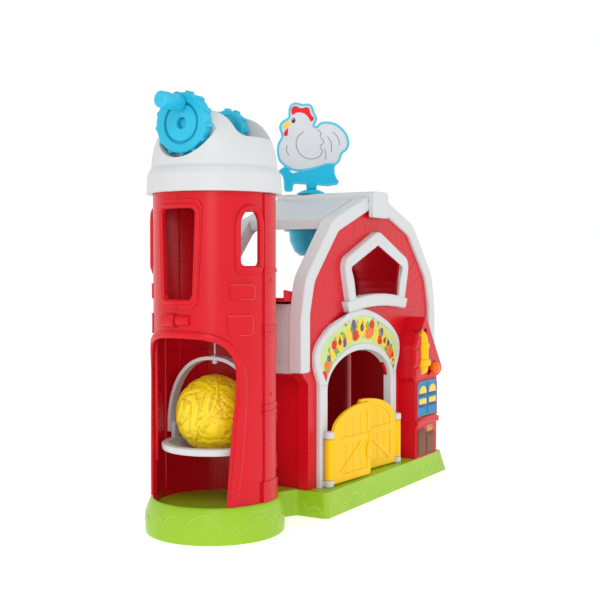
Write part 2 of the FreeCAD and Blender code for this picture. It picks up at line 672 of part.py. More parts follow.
doc.recompute()
pat = spur.newObject("PartDesign::PolarPattern", "inner_wheel_lugs")
pat.Originals = [lug]
pat.Axis = (sk, ["N_Axis"])
pat.Angle = 360.0
pat.Occurrences = 12
spur.Tip = pat
doc.recompute()

turned("hoist_drum", [(q("axle_rad"), -10.0), (q("drum_flange"), -10.0), (q("drum_flange"), -8.4), (q("drum_rad"), -8.0),
                      (q("drum_rad"), 8.0), (q("drum_flange"), 8.4), (q("drum_flange"), 10.0), (q("axle_rad"), 10.0)],
       "silo", AX, (0, 0, q("axle_height")))
# cord wound on the drum, one plain sleeve with a rounded edge
turned("cord_winding", [(q("drum_rad"), -5.4), (q("drum_rad") + 1.2, -5.4), (q("drum_rad") + 1.8, -4.8),
                        (q("drum_rad") + 1.8, 4.8), (q("drum_rad") + 1.2, 5.4), (q("drum_rad"), 5.4)],
       "silo", AX, (0, 0, q("axle_height")))
turned("hub_plug", [(0, q("wheel_front") + 5.2), (3.6, q("wheel_front") + 5.2), (4.5, q("wheel_front") + 5.8),
                    (4.5, q("wheel_front") + 7.35), (0, q("wheel_front") + 7.35)],
       "silo", AX, (0, 0, q("axle_height")))
# grip on its pin, above the axle at rest
gt = q("grip_tip")
turned("grip_pin", [(0, gt + 3.0), (3.9, gt + 3.0), (3.9, gt + 5.0), (2.2, gt + 5.4), (2.2, q("wheel_front") + 4.0),
                    (0, q("wheel_front") + 4.0)],
       "silo", AX, (0, 0, q("axle_height") + q("grip_off")))
turned("crank_grip", [(0, gt), (4.6, gt), (q("grip_rad") + 0.1, gt + 2.0), (q("grip_rad") + 0.4, gt + 9.4),
                      (q("grip_rad") - 0.5, gt + 10.0), (q("grip_rad") - 0.5, gt + 11.0), (q("grip_rad"), gt + 11.6),
                      (q("grip_rad") - 0.4, q("wheel_front") - 0.5), (2.26, q("wheel_front") - 0.5), (2.26, gt + 5.7),
                      (3.96, gt + 5.3), (3.96, gt + 2.7), (0, gt + 2.7)],
       "silo", AX, (0, 0, q("axle_height") + q("grip_off")))
# the web of the crank wheel takes the grip's pin
wheel_pin = circle_sketch(wheel, "crank_wheel_pin_hole", "XY_Plane", [(-q("grip_off"), 0)], 2.2)
wheel_pin.AttachmentOffset = Placement(Vector(0, 0, P["wheel_front"] - 1.0), Rotation())
wheel_pin.setExpression("AttachmentOffset.Base.z", "Params.wheel_front - 1.0")
doc.recompute()
pocket(wheel, wheel_pin, 5.0, rev=True, name="crank_wheel_pin_pocket")

# cord guide: a small bridge under the trough with an eye on the silo axis
gz = P["guide_height"]
gd = box(-21.0, 6.0, -5.0, 5.0, gz - 1.0, gz + 1.4)
gd = gd.fuse(box(-20.5, -15.5, -15.0, 15.0, gz - 1.0, 323.0))
gd = gd.cut(box(-22, -14, -9.0, 9.0, gz + 1.4, 324)).cut(cyl(2.0, Vector(0, 0, gz - 3), Zv, 8))
feature("cord_guide", gd.removeSplitter(), "silo")

# ---------------------------------------------------------------- lift
cr = q("cord_rad")
turned("hoist_cord", [(0, q("hoop_top") + 0.6), (cr, q("hoop_top") + 0.6), (cr, q("guide_height") + 0.9), (0, q("guide_height") + 0.9)],
       "silo")
turned("cord_knot", [(0, q("hoop_top") - 6.8), (1.6, q("hoop_top") - 6.4), (2.5, q("hoop_top") - 5.0),
                     (1.8, q("hoop_top") - 3.2), (0.9, q("hoop_top") - 3.05), (0.9, q("hoop_top") + 0.6), (0, q("hoop_top") + 0.6)], "silo")

ho, ht, hk, hw, zt = P["hoop_out"], P["hoop_top"], P["hoop_thick"], P["hoop_wide"], P["tilt_height"]


def hoop_curve(off, n=28):
    pts = []
    a, b = ho - off, ht - zt - off
    for i in range(n + 1):
        t = math.pi * i / n
        c, s = math.cos(t), math.sin(t)
        pts.append((0, math.copysign(abs(c) ** 0.86, c) * a, zt + b * s ** 0.92))
    return pts


def strap(x0, x1):
    o = hoop_curve(0)
    i_ = hoop_curve(hk)
    leg = 5.2
    out = [(0, ho, zt - leg)] + o + [(0, -ho, zt - leg)]
    inn = [(0, -(ho - hk), zt - leg)] + list(reversed(i_)) + [(0, ho - hk, zt - leg)]
    bo, bi = Part.BSplineCurve(), Part.BSplineCurve()
    bo.interpolate([Vector(*p) for p in o])
    bi.interpolate([Vector(*p) for p in i_])
    e = [bo.toShape(), bi.toShape(),
         Part.makeLine(Vector(*o[0]), Vector(0, ho, zt - leg)), Part.makeLine(Vector(0, ho, zt - leg), Vector(0, ho - hk, zt - leg)),
         Part.makeLine(Vector(0, ho - hk, zt - leg), Vector(*i_[0])),
         Part.makeLine(Vector(*o[-1]), Vector(0, -ho, zt - leg)), Part.makeLine(Vector(0, -ho, zt - leg), Vector(0, -(ho - hk), zt - leg)),
         Part.makeLine(Vector(0, -(ho - hk), zt - leg), Vector(*i_[-1]))]
    w = Part.Wire(Part.__sortEdges__(e))
    f = Part.Face(w)
    f.translate(Vector(x0, 0, 0))
    return f.extrude(Vector(x1 - x0, 0, 0))


hoop = strap(-hw / 2, hw / 2)
hoop = hoop.fuse(cyl(3.6, Vector(0, 0, ht - 1.6), Zv, 2.2))
hoop = hoop.cut(cyl(1.0, Vector(0, 0, ht - 8), Zv, 12))
hoop = hoop.cut(cyl(2.06, Vector(0, -60, zt), Yv, 120))
feature("lift_hoop", single(hoop.removeSplitter(), "lift_hoop"), "silo")

# platform: ring, floor with the hole the ball nests in, two lugs for the pivot pins
rr, ri_, rl, rh, fh = P["ring_rad"], P["ring_inner"], P["ring_low"], P["ring_high"], P["floor_high"]
prof = rounded_outline([(ri_, 0, rl), (rr - 1.0, 0, rl), (rr, 0, rh - 0.6), (rr - 1.5, 0, rh), (ri_ + 1.0, 0, rh)], [0, 1.4, 1.0, 0.6, 1.0])
ring = Part.Face(prof).revolve(Vector(0, 0, 0), Zv, 360)
fr, dh = P["floor_hole"], P["dish_high"]
floor_plate = Part.makePolygon([Vector(fr, 0, dh - 1.9), Vector(ri_ - 2.0, 0, rl), Vector(ri_ + 1.6, 0, rl), Vector(ri_ + 1.6, 0, fh + 1.4),
                                Vector(ri_ - 0.8, 0, fh + 1.4), Vector(ri_ - 2.4, 0, fh), Vector(fr, 0, dh), Vector(fr, 0, dh - 1.9)])
ring = ring.fuse(Part.Face(floor_plate).revolve(Vector(0, 0, 0), Zv, 360))
for s in (-1, 1):
    y_in, y_out = 40.4, ho - hk - 0.35
    y0, y1 = (y_in, y_out) if s > 0 else (-y_out, -y_in)
    lugp = box(-3.4, 3.4, y0, y1, rh - 2.0, zt).fuse(cyl(3.4, Vector(0, y0, zt), Yv, y1 - y0))
    ring = ring.fuse(lugp)
ring = ring.cut(cyl(2.0, Vector(0, -60, zt), Yv, 120))
# clearance in the ring's outside for the strap ends is not needed: they stop above it
feature("lift_platform", single(ring.removeSplitter(), "lift_platform"), "silo")

pins = []
for s in (-1, 1):
    y0, y1 = (40.4, ho) if s > 0 else (-ho, -40.4)
    pn = cyl(2.0, Vector(0, y0, zt), Yv, y1 - y0)
    pins.append(pn)
feature("hoop_pins", Part.makeCompound(pins), "silo")

br_, bz_ = P["ball_rad"], P["ball_height"]


def half_ball(top):
    b = Part.makeSphere(br_, Vector(0, 0, bz_)).cut(Part.makeSphere(br_ - 2.0, Vector(0, 0, bz_)))
    hb = box(-50, 50, -50, 50, bz_, bz_ + 60) if top else box(-50, 50, -50, 50, bz_ - 60, bz_)
    return b.common(hb)


feature("hay_ball_upper", half_ball(True), "silo")
feature("hay_ball_lower", half_ball(False), "silo")

# ---------------------------------------------------------------- barn
RM = P["roof_mid"]
TF, RF = P["trim_front"], P["red_front"]
OUT = [(145.4, 129.0), (145.6, 176.0), (137.4, 213.3), (86.8, 267.6), (0.0, 298.0)]       # outer gambrel, half
INN = [(130.2, 129.0), (129.9, 181.0), (121.6, 210.0), (77.5, 256.0), (0.0, 283.5)]       # inner edge of the trim, half


def gambrel(half, y, radii, bottom=None, sides=None):
    """Closed symmetric outline of the barn front at depth y."""
    pts = [(RM + dx, y, z) for dx, z in half] + [(RM - dx, y, z) for dx, z in reversed(half[:-1])]
    r = list(radii) + list(reversed(radii[:-1]))
    return rounded_outline(pts, r)


def arch_frame(y0, y1, face_chamfer=True):
    o = plate(gambrel(OUT, y0, [0, 30, 34, 26, 14]), Vector(0, y1 - y0, 0))
    i_ = plate(gambrel([(INN[0][0], 100.0)] + INN[1:], y0 - 1, [0, 26, 26, 20, 12]), Vector(0, y1 - y0 + 2, 0))
    return o.cut(i_)


front_arch = arch_frame(TF, P["arch_back"])
# feet of the trim are cut on a slope
for s in (-1, 1):
    cutp = plate(Part.makePolygon([Vector(RM + s * 150, 0, 120), Vector(RM + s * 150, 0, 131.5), Vector(RM + s * 138, 0, 127.4),
                                   Vector(RM + s * 126, 0, 131.0), Vector(RM + s * 126, 0, 120), Vector(RM + s * 150, 0, 120)]), Vector(0, 60, 0))
    front_arch = front_arch.cut(cutp)
# notch for the keystone end of the ridge cap
front_arch = front_arch.cut(box(RM - 17.2, RM + 17.2, TF - 1, P["arch_back"] + 1, 287.6, 310))
front_arch = rounded(single(front_arch.removeSplitter(), "roof_arch_front"), 1.8, "y", [TF])
front_arch = rounded(front_arch, 1.0, "y", [P["arch_back"]])

rear_arch = arch_frame(P["rear_arch_front"], P["rear_arch_back"])
rear_arch = rear_arch.cut(box(RM - 17.2, RM + 17.2, 100, 130, 287.6, 310))
rear_arch = rounded(single(rear_arch.removeSplitter(), "roof_arch_rear"), 1.6, "y", [P["rear_arch_back"]])
rear_arch = rounded(rear_arch, 1.0, "y", [P["rear_arch_front"]])
feature("roof_arch_rear", rear_arch, "barn")

# facade
FX0, FX1 = 3.2, 2 * RM - 3.2


def facade_outline(y, g=0.0):
    half_up = [(INN[0][0] + 9 - g, 128.0), (INN[1][0] + 9 - g, 181.5), (INN[2][0] + 9 - g, 212.0), (INN[3][0] + 6 - g, 260.5 - g), (0.0, 289.0 - g)]
    pts = [(FX1 - g, y, H0), (FX1 - g, y, 118.0)] + [(RM + dx, y, z) for dx, z in half_up] + \
          [(RM - dx, y, z) for dx, z in reversed(half_up[:-1])] + [(FX0 + g, y, 118.0), (FX0 + g, y, H0)]
    r = [0, 0, 0, 20, 20, 16, 10, 16, 20, 20, 0, 0, 0]
    return rounded_outline(pts, r)


fac = plate(facade_outline(RF), Vector(0, W, 0))
# the trim takes the edge of the red front in a groove
feature("roof_arch_front", single(front_arch.cut(fac).removeSplitter(), "roof_arch_front"), "barn")
GM, GO = P["garden_mid"], P["garden_open"]
# doorway behind the garden arch
door = rounded_outline([(GM - GO - 2.1, 0, H0 - 1), (GM + GO + 2.1, 0, H0 - 1), (GM + GO + 2.1, 0, 110.0), (GM + 50.0, 0, 138.0), (GM + 24, 0, 147.0), (GM - 24, 0, 147.0),
                        (GM - 50.0, 0, 138.0), (GM - GO - 2.1, 0, 110.0)], [0, 0, 30, 30, 40, 40, 30, 30])
fac = fac.cut(plate(door, Vector(0, 60, 0)))
HW = [(-61.6, 226.0), (-55.6, 193.4), (55.6, 193.4), (61.6, 226.0), (0.0, 248.4)]
fac = fac.cut(plate(rounded_outline(xz([(RM + dx, z) for dx, z in HW], 0), [4, 0, 0, 4, 8]), Vector(0, 60, 0)))
fac = fac.cut(box(P["house_left"] + 4, P["house_right"] - 4, 0, 60, 106.0, 150.0))
pad_ = box(RM + 84.5, RM + 118.0, RF - 1.4, RF + 0.2, 154.8, 165.4)
pad_ = pad_.makeFillet(0.9, [e for e in pad_.Edges if e.BoundBox.YMax < RF - 1.3])
pad_ = pad_.cut(plate(Part.makePolygon([Vector(190, 0, 180), Vector(219.6, 0, 172.0), Vector(260.4, 0, 115.6), Vector(190, 0, 115.6), Vector(190, 0, 180)]), Vector(0, 60, 0)))
fac = fac.fuse(pad_)
# the red front turns back at its two lower corners
for s in (-1, 1):
    xa = FX0 if s < 0 else FX1 - W
    fac = fac.fuse(box(xa, xa + W, RF, 32.0, H0, 118.0))
    # the return follows the front where it widens under the roof
    xo, xw = RM + s * (FX1 - RM), RM + s * (INN[0][0] + 9)
    fac = fac.fuse(plate(Part.makePolygon([Vector(x_, RF + 0.5, z_) for x_, z_ in ((xo, 117.0), (xo, 118.0), (xw, 128.0), (xw - s * W, 128.0), (xo - s * W, 118.0), (xo - s * W, 117.0), (xo, 117.0))]),
                         Vector(0, 31.5 - RF, 0)))
feature("barn_facade", single(fac.removeSplitter(), "barn_facade"), "barn")

# side walls
feature("side_wall_left", box(5.8, 5.8 + W, 32.2, 111.8, H0, 127.5).fuse(box(-6.5, 8.3, 32.2, 111.8, 125.0, 127.5)).removeSplitter(), "barn")
rw = 2 * RM - 5.8
feature("side_wall_right", box(rw - W, rw, 32.2, 111.8, H0, 127.5).fuse(box(rw - W, 2 * RM + 6.5, 32.2, 111.8, 125.0, 127.5)).removeSplitter(), "barn")

# lower roof panels, white, between the two arches


def slope_panel(sign, pts_half, thick_in, y0, y1):
    o = [(RM + sign * dx, y0, z) for dx, z in pts_half]
    i_ = [(RM + sign * (dx - thick_in), y0, z) for dx, z in pts_half]
    w = Part.makePolygon([Vector(*p) for p in o + list(reversed(i_))] + [Vector(*o[0])])
    return Part.Face(w).extrude(Vector(0, y1 - y0, 0))


PY0, PY1 = P["arch_back"] + 0.2, P["rear_arch_front"] - 0.2
LOW = [(140.0, 128.2), (142.6, 136.0), (143.6, 160.0), (143.3, 176.0), (141.2, 190.0)]
feature("roof_panel_left", slope_panel(-1, LOW, W, PY0, PY1), "barn")
feature("roof_panel_right", slope_panel(1, LOW, W, PY0, PY1), "barn")
UP = [(138.0, 190.4), (137.4, 199.0), (135.2, 208.0), (130.5, 215.6), (112.0, 235.6), (86.5, 262.9),
      (86.5, 259.3), (110.2, 233.8), (127.9, 214.2), (132.6, 206.9), (134.7, 198.6), (135.4, 190.4)]
lp = Part.Face(Part.makePolygon([Vector(RM + dx, PY0, z) for dx, z in UP] + [Vector(RM + UP[0][0], PY0, UP[0][1])])).extrude(Vector(0, PY1 - PY0, 0))
feature("loft_panel_right", lp, "barn")

# roof cap: upper slopes, raised ridge band that ends in a keystone at the front
RH = P["ridge_high"]
cap_half = [(86.0, 258.4), (86.4, 267.4), (30.0, 288.2), (0.0, 294.0)]
cap_in = [(83.5, 258.4), (83.6, 265.8), (30.0, 285.4), (0.0, 291.2)]
o = [(RM + dx, PY0, z) for dx, z in cap_half] + [(RM - dx, PY0, z) for dx, z in reversed(cap_half[:-1])]
i_ = [(RM - dx, PY0, z) for dx, z in cap_in] + [(RM + dx, PY0, z) for dx, z in reversed(cap_in[:-1])]
cap = Part.Face(Part.makePolygon([Vector(*p) for p in o + i_] + [Vector(*o[0])])).extrude(Vector(0, PY1 - PY0, 0))
ridge = plate(rounded_outline(xz([(RM - 17, 287.8), (RM + 17, 287.8), (RM + 17, RH - 2.6), (RM + 12, RH), (RM - 12, RH), (RM - 17, RH - 2.6)], 13.4), [0, 0, 2, 3, 3, 2]),
              Vector(0, P["rear_arch_back"] - 13.4, 0))
ridge_in = box(RM - 14.5, RM + 14.5, PY0 + 2.5, PY1 - 2.5, 270.0, RH - 2.8)
key = plate(rounded_outline(xz([(RM - 17, 271.4), (RM + 17, 271.4), (RM + 17, 290.0), (RM - 17, 290.0)], 13.4), [2.5, 2.5, 0, 0]), Vector(0, TF - 0.05 - 13.4, 0))
key_in = box(RM - 14.5, RM + 14.5, 15.8, TF + 0.5, 274.0, 289.0)
cap = cap.fuse(ridge).fuse(key).cut(key_in).cut(plate(facade_outline(RF), Vector(0, W, 0)))
cap = cap.cut(ridge_in.common(box(RM - 14.5, RM + 14.5, PY0, PY1, 287.0, 310)))
# spindle hole
vx, vy = P["vane_x"], P["vane_y"]
cap = cap.cut(cyl(P["post_rad"] + 0.06, Vector(vx, vy, 270), Zv, 40))
feature("roof_cap", single(cap.removeSplitter(), "roof_cap"), "barn")

# rear wall of the ground floor with a wide play opening
bw = plate(rounded_outline(xz([(FX1, H0), (FX1, 126.0), (2 * RM - 3.6, 186.0), (3.6, 186.0), (FX0, 126.0), (FX0, H0)], 114.5), 0), Vector(0, W, 0))
bw = bw.cut(plate(rounded_outline(xz([(40, H0 - 1), (150, H0 - 1), (150, 118), (126, 150), (64, 150), (40, 118)], 100), [0, 0, 20, 20, 20, 20]), Vector(0, 40, 0)))
feature("rear_wall", single(bw, "rear_wall"), "barn")

# loft floor with the drop hole, and the chute that brings the ball from the silo
lf = box(9.0, rw - W - 0.6, RF + W + 0.3, 114.2, 184.6, 187.0)
lf = lf.cut(cyl(38.5, Vector(205.0, 70.0, 180), Zv, 12))
feature("loft_floor", lf, "barn")
ch = Part.makePolygon([Vector(-21.0, 0, 196.0), Vector(60.0, 0, 188.6), Vector(60.0, 0, 187.1), Vector(57.0, 0, 187.1), Vector(-21.0, 0, 193.4), Vector(-21.0, 0, 196.0)])
chute = Part.Face(ch)
chute.translate(Vector(0, sy - 37.5, 0))
chute = chute.extrude(Vector(0, 75.0, 0))
for y in (sy - 37.5, sy + 35.3):
    side = Part.Face(Part.makePolygon([Vector(-21.0, y, 193.4), Vector(-21.0, y, 203.0), Vector(-6.0, y, 201.0), Vector(60.0, y, 190.6), Vector(60.0, y, 187.1),
                                       Vector(57.0, y, 187.1), Vector(-21.0, y, 193.4)])).extrude(Vector(0, 2.2, 0))
    chute = chute.fuse(side)
chute = chute.cut(cyl(RO + 0.3, Vector(sx, sy, 150), Zv, 100)).cut(box(-30, 30, 20, P["arch_back"] + 0.15, 180, 210))
feature("ball_chute", single(chute.removeSplitter(), "ball_chute"), "barn")

# hayloft window frame and its sill
FF = P["frame_front"]
WO = [(-66.6, 231.5), (-69.8, 222.0), (-60.3, 189.5), (60.3, 189.5), (69.8, 222.0), (66.6, 231.5), (0.0, 259.0)]
WI = [(-57.8, 222.6), (-51.6, 211.0), (-47.6, 194.0), (47.6, 194.0), (51.6, 211.0), (57.8, 222.6), (0.0, 244.6)]
WI_FRONT = [(-61.4, 225.4), (-57.6, 211.0), (-54.0, 190.6), (54.0, 190.6), (57.6, 211.0), (61.4, 225.4), (0.0, 248.0)]


wf_ = plate(rounded_outline(xz([(RM + dx, z) for dx, z in WO], FF), [9, 14, 0, 0, 14, 9, 20]), Vector(0, RF - FF, 0))
wf_ = rounded(wf_, 1.8, "y", [FF])
RI_ = [3, 6, 1.5, 1.5, 6, 3, 6]
bevel = Part.makeLoft([rounded_outline(xz([(RM + dx, z) for dx, z in WI_FRONT], FF - 0.01), RI_),
                       rounded_outline(xz([(RM + dx, z) for dx, z in WI], FF + 0.95), RI_)], True, True)
behind = plate(rounded_outline(xz([(RM + dx, z) for dx, z in WI_FRONT], FF + 1.9), RI_), Vector(0, 20, 0))
wf_ = wf_.cut(bevel).cut(behind).cut(plate(rounded_outline(xz([(RM + dx, z) for dx, z in WI], FF), RI_), Vector(0, 30, 0)))
feature("hayloft_frame", single(wf_.removeSplitter(), "hayloft_frame"), "barn")


def arc_bar(xm, half_low, half_high, zm_low, sag_low, zm_high, sag_high, y0, y1):
    """Gently bowed bar: middle higher than its ends, ends cut on a slant."""
    n = 12
    lo = [(xm - half_low + 2 * half_low * i / n, zm_low - sag_low * (2.0 * i / n - 1) ** 2) for i in range(n + 1)]
    hi = [(xm + half_high - 2 * half_high * i / n, zm_high - sag_high * (2.0 * i / n - 1) ** 2) for i in range(n + 1)]
    bl_, bh_ = Part.BSplineCurve(), Part.BSplineCurve()
    bl_.interpolate([Vector(x, y0, z) for x, z in lo])
    bh_.interpolate([Vector(x, y0, z) for x, z in hi])
    w = Part.Wire([bl_.toShape(), Part.makeLine(Vector(lo[-1][0], y0, lo[-1][1]), Vector(hi[0][0], y0, hi[0][1])), bh_.toShape(),
                   Part.makeLine(Vector(hi[-1][0], y0, hi[-1][1]), Vector(lo[0][0], y0, lo[0][1]))])
    return plate(w, Vector(0, y1 - y0, 0))


SF = P["sill_front"]
plain_sill = arc_bar(RM, 61.0, 66.5, 184.2, 4.4, 196.6, 6.6, SF, RF - 0.05)
front_edges = [e for e in plain_sill.Edges if e.BoundBox.YMax < SF + 0.05]
for make, r_ in ((plain_sill.makeFillet, 2.0), (plain_sill.makeFillet, 1.7), (plain_sill.makeFillet, 1.5), (plain_sill.makeChamfer, 1.3)):
    sill_hull = make(r_, front_edges)
    sill = sill_hull.cut(wf_).removeSplitter()
    if sill_hull.isValid() and sill.isValid():
        break
print("sill edge", r_)
feature("window_sill", single(sill, "window_sill"), "barn")

# garden arch: broad white surround, outer and inner lips with a recess for the printed panel
GH = P["garden_half"]


HEAD = [(79.0, 116.5), (80.4, 120.4), (83.0, 125.0), (85.6, 130.0), (87.1, 136.0), (87.4, 141.5), (86.3, 146.6), (83.2, 151.8), (76.6, 158.0),
        (66.0, 165.0), (50.0, 171.9), (33.5, 177.3), (16.5, 181.2), (0.0, 182.8)]
PRINT = [(71.0, 119.6), (74.2, 124.6), (78.0, 131.0), (80.0, 137.0), (80.2, 142.6), (77.6, 148.6), (69.4, 155.6), (58.0, 161.2), (46.5, 165.9),
         (31.5, 170.8), (15.5, 174.8), (0.0, 176.2)]


def arch_wire(foot_half, half_pts, y, z0):
    """Closed outline: two straight posts joined by a smooth head through half_pts, mirrored about GM."""
    right = [Vector(GM + dx, y, z) for dx, z in half_pts]
    left = [Vector(GM - dx, y, z) for dx, z in reversed(half_pts[:-1])]
    bs = Part.BSplineCurve()
    bs.interpolate(right + left)
    corners = [left[-1], Vector(GM - foot_half, y, z0), Vector(GM + foot_half, y, z0), right[0]]
    e = [bs.toShape()]
    for p0, p1 in zip(corners[:-1], corners[1:]):
        if (p0 - p1).Length > 1e-6:
            e.append(Part.makeLine(p0, p1))
    return Part.Wire(e)


def crown(half, z_spring, z_top, n=12, power=1.0):
    return [(half * math.cos(math.radians(90.0 * i / n)) ** power if i < n else 0.0,
             z_spring + (z_top - z_spring) * math.sin(math.radians(90.0 * i / n))) for i in range(n + 1)]


GF, GB = P["garden_front"], P["garden_back"]
g_out = plate(arch_wire(GH, [(GH + dx - 79.0, z) for dx, z in HEAD], GF, H0), Vector(0, RF - GF - 0.05, 0))
g_out = rounded(g_out, 2.4, "y", [GF], lambda b, e: b.ZMax < H0 + 0.1)
g_tube = plate(arch_wire(GO + 2.0, crown(GO + 2.0, 110.0, 145.4), RF - 0.2, H0), Vector(0, GB - RF + 0.2, 0))
g_tube = g_tube.common(plate(door, Vector(0, 60, 0)))
g_open = plate(arch_wire(GO, crown(GO, 110.0, 142.8), 0, H0 - 1), Vector(0, 60, 0))
g_arch = single(g_out.fuse(g_tube).cut(g_open).removeSplitter(), "garden_arch")
g_arch = rounded(g_arch, 1.4, "y", [GF], lambda b, e: b.ZMax < H0 + 0.1 or b.ZMax > 150 or abs((b.XMin + b.XMax) / 2 - GM) > GO + 2)
print_out = plate(arch_wire(71.0, PRINT, GF - 1, 112.0), Vector(0, 2.2, 0))
print_in = plate(arch_wire(GO + 4.2, crown(GO + 4.2, 110.0, 149.0), GF - 1, 80.0), Vector(0, 2.2, 0))
keep = box(GM - 120, GM + 120, GF - 2, GF + 3, 119.0, 200)
recess = print_out.cut(print_in).common(keep)
g_arch = g_arch.cut(recess)
g_arch = g_arch.cut(sill_hull)
# seam between the arch head and its two posts
for s in (-1, 1):
    g_arch = g_arch.cut(box(GM + s * (GO + 6) - 9, GM + s * (GO + 6) + 9, GF - 1, GF + 0.35, 115.3, 115.8))
g_arch = single(g_arch.removeSplitter(), "garden_arch")
feature("garden_arch", g_arch, "barn")
panel = recess.copy()
panel = panel.common(box(GM - 120, GM + 120, GF + 0.5, GF + 1.2, 100, 200))
feature("arch_panel", single(panel, "arch_panel"), "barn")

# ---------------------------------------------------------------- gates
HZ = [24.6, 70.4]


def gate(sign):
    """Gate in its own frame: hinge axis at the origin, panel along +X (sign 1) or -X."""
    L, T, z0, z1 = P["gate_long"], P["gate_thick"], P["gate_low"], P["gate_high"]
    br = P["barrel_rad"]
    n = 12

    def arc(inset, xa, xb):
        return [(xa + (xb - xa) * (1 - math.cos(math.radians(90.0 * i / n))), 66.5 + (z1 - inset - 66.5) * math.sin(math.radians(90.0 * i / n)) ** 0.8)
                for i in range(n + 1)]

    top = arc(0.0, 5.0, L - 5.0)
    y0 = -T / 2
    bs = Part.BSplineCurve()
    bs.interpolate([Vector(x, y0, z) for x, z in top])
    V = lambda x, z: Vector(x, y0, z)
    c1 = Part.Arc(V(L - 4.0, z0), V(L - 4.0 + 4.0 * math.sin(math.pi / 4), z0 + 4.0 - 4.0 * math.cos(math.pi / 4)), V(L, z0 + 4.0)).toShape()
    c2 = Part.Arc(V(L, z1 - 4.0), V(L - 4.0 + 4.0 * math.sin(math.pi / 4), z1 - 4.0 + 4.0 * math.cos(math.pi / 4)), V(L - 4.0, z1)).toShape()
    e = [Part.makeLine(V(5.0, z0), V(L - 4.0, z0)), c1, Part.makeLine(V(L, z0 + 4.0), V(L, z1 - 4.0)), c2,
         Part.makeLine(V(L - 4.0, z1), V(top[-1][0], top[-1][1])), bs.toShape(), Part.makeLine(V(5.0, z0), V(top[0][0], top[0][1]))]
    g = Part.Face(Part.Wire(Part.__sortEdges__(e))).extrude(Vector(0, T, 0))
    g = rounded(g, 1.1, "y", [-T / 2, T / 2])
    # sunk fields on both faces leave a border, a mid rail and a brace standing; grooves part the planks
    for side in (-1, 1):
        ys = -T / 2 - 0.1 if side < 0 else T / 2 - 0.7
        yg = -T / 2 - 0.1 if side < 0 else T / 2 - 1.25
        f1 = rounded_outline([(15, ys, 31.5), (L - 6.5, ys, 31.5), (L - 6.5, ys, 58.6), (15, ys, 58.6)], 1.2)
        inner = arc(7.0, 15.0, L - 9.0)
        bi = Part.BSplineCurve()
        bi.interpolate([Vector(x, ys, z) for x, z in inner if z > 67.0])
        pa, pb = bi.toShape().Vertexes[0].Point, bi.toShape().Vertexes[-1].Point
        f2 = Part.Wire(Part.__sortEdges__([bi.toShape(), Part.makeLine(pb, Vector(L - 6.5, ys, pb.z)), Part.makeLine(Vector(L - 6.5, ys, pb.z), Vector(L - 6.5, ys, 65.2)),
                                           Part.makeLine(Vector(L - 6.5, ys, 65.2), Vector(pa.x, ys, 65.2)), Part.makeLine(Vector(pa.x, ys, 65.2), pa)]))
        for fw in (f1, f2):
            g = g.cut(plate(fw, Vector(0, 0.8, 0)))
        for xg, zt_ in ((26.0, 77.0), (38.5, 82.5), (51.0, 85.5)):
            g = g.cut(box(xg - 0.35, xg + 0.35, yg, yg + 1.35, 32.0, 58.2)).cut(box(xg - 0.35, xg + 0.35, yg, yg + 1.35, 65.6, zt_))
        yb = -T / 2 if side < 0 else T / 2 - 1.3
        brace = Part.Face(Part.makePolygon([Vector(15, yb, 31.5), Vector(18.5, yb, 31.5), Vector(57.5, yb, 58.6), Vector(52.0, yb, 58.6), Vector(15, yb, 33.6), Vector(15, yb, 31.5)]))
        g = g.fuse(brace.extrude(Vector(0, 1.3, 0)))
    # pull strip with its lobe on the outer face
    h = plate(rounded_outline(xz([(L - 1.6, 40.0), (L - 1.6, 66.5), (L - 4.4, 66.5), (L - 4.4, 54.0), (L - 8.2, 52.4), (L - 8.2, 42.6), (L - 4.4, 40.0)], -T / 2 - 1.1),
                              [1.2, 1.2, 1.2, 1.2, 2.6, 2.6, 1.2]), Vector(0, 1.6, 0))
    h = rounded(h, 0.6, "y", [-T / 2 - 1.1])
    g = g.fuse(h)
    # barrel
    g = g.fuse(box(0, 6.0, -1.8, 1.8, 29.6, 66.4)).fuse(cyl(br, Vector(0, 0, 29.6), Zv, 36.8))
    g = g.cut(cyl(P["pin_rad"] + 0.06, Vector(0, 0, 20), Zv, 60))
    g = g.removeSplitter()
    if sign < 0:
        g = g.mirror(Vector(0, 0, 0), Vector(1, 0, 0))
    g = single(g, "gate")
    return g


feature("gate_left", gate(1), "barn", Rotation(Vector(0, 0, 1), -P["gate_open_left"]), (q("gate_left_x"), q("gate_hinge_y"), 0))
feature("gate_right", gate(-1), "barn", Rotation(Vector(0, 0, 1), -P["gate_open_right"]), (q("gate_right_x"), q("gate_hinge_y"), 0))


def knuckle(low):
    """White hinge knob standing off the arch's post, with the socket for the pin."""
    z0, z1 = (22.9, 29.2) if low else (66.8, 73.6)
    k = cyl(4.5, Vector(0, 0, z0), Zv, z1 - z0)
    k = k.makeFillet(1.3, [e for e in k.Edges if abs(e.BoundBox.ZLength) < 1e-6 and e.Length > 20])
    back = GF - P["gate_hinge_y"] - 0.02
    k = k.cut(box(-6, 6, back, 8, z0 - 1, z1 + 1)).fuse(box(-3.2, 3.2, 0, back, z0 + 1.3, z1 - 1.3))
    return k.cut(cyl(P["pin_rad"], Vector(0, 0, z0 + 1.6 if low else z0 - 1), Zv, (z1 - z0) if low else (z1 - z0 - 0.6)))


kn = []
for x in (P["gate_left_x"], P["gate_right_x"]):
    for low in (True, False):
        k = knuckle(low)
        k.translate(Vector(x, P["gate_hinge_y"], 0))
        kn.append(k)
feature("gate_hinge_knobs", Part.makeCompound(kn), "barn")
gp = [cyl(P["pin_rad"], Vector(x, P["gate_hinge_y"], 24.6), Zv, 47.3) for x in (P["gate_left_x"], P["gate_right_x"])]
feature("gate_hinge_pins", Part.makeCompound(gp), "barn")

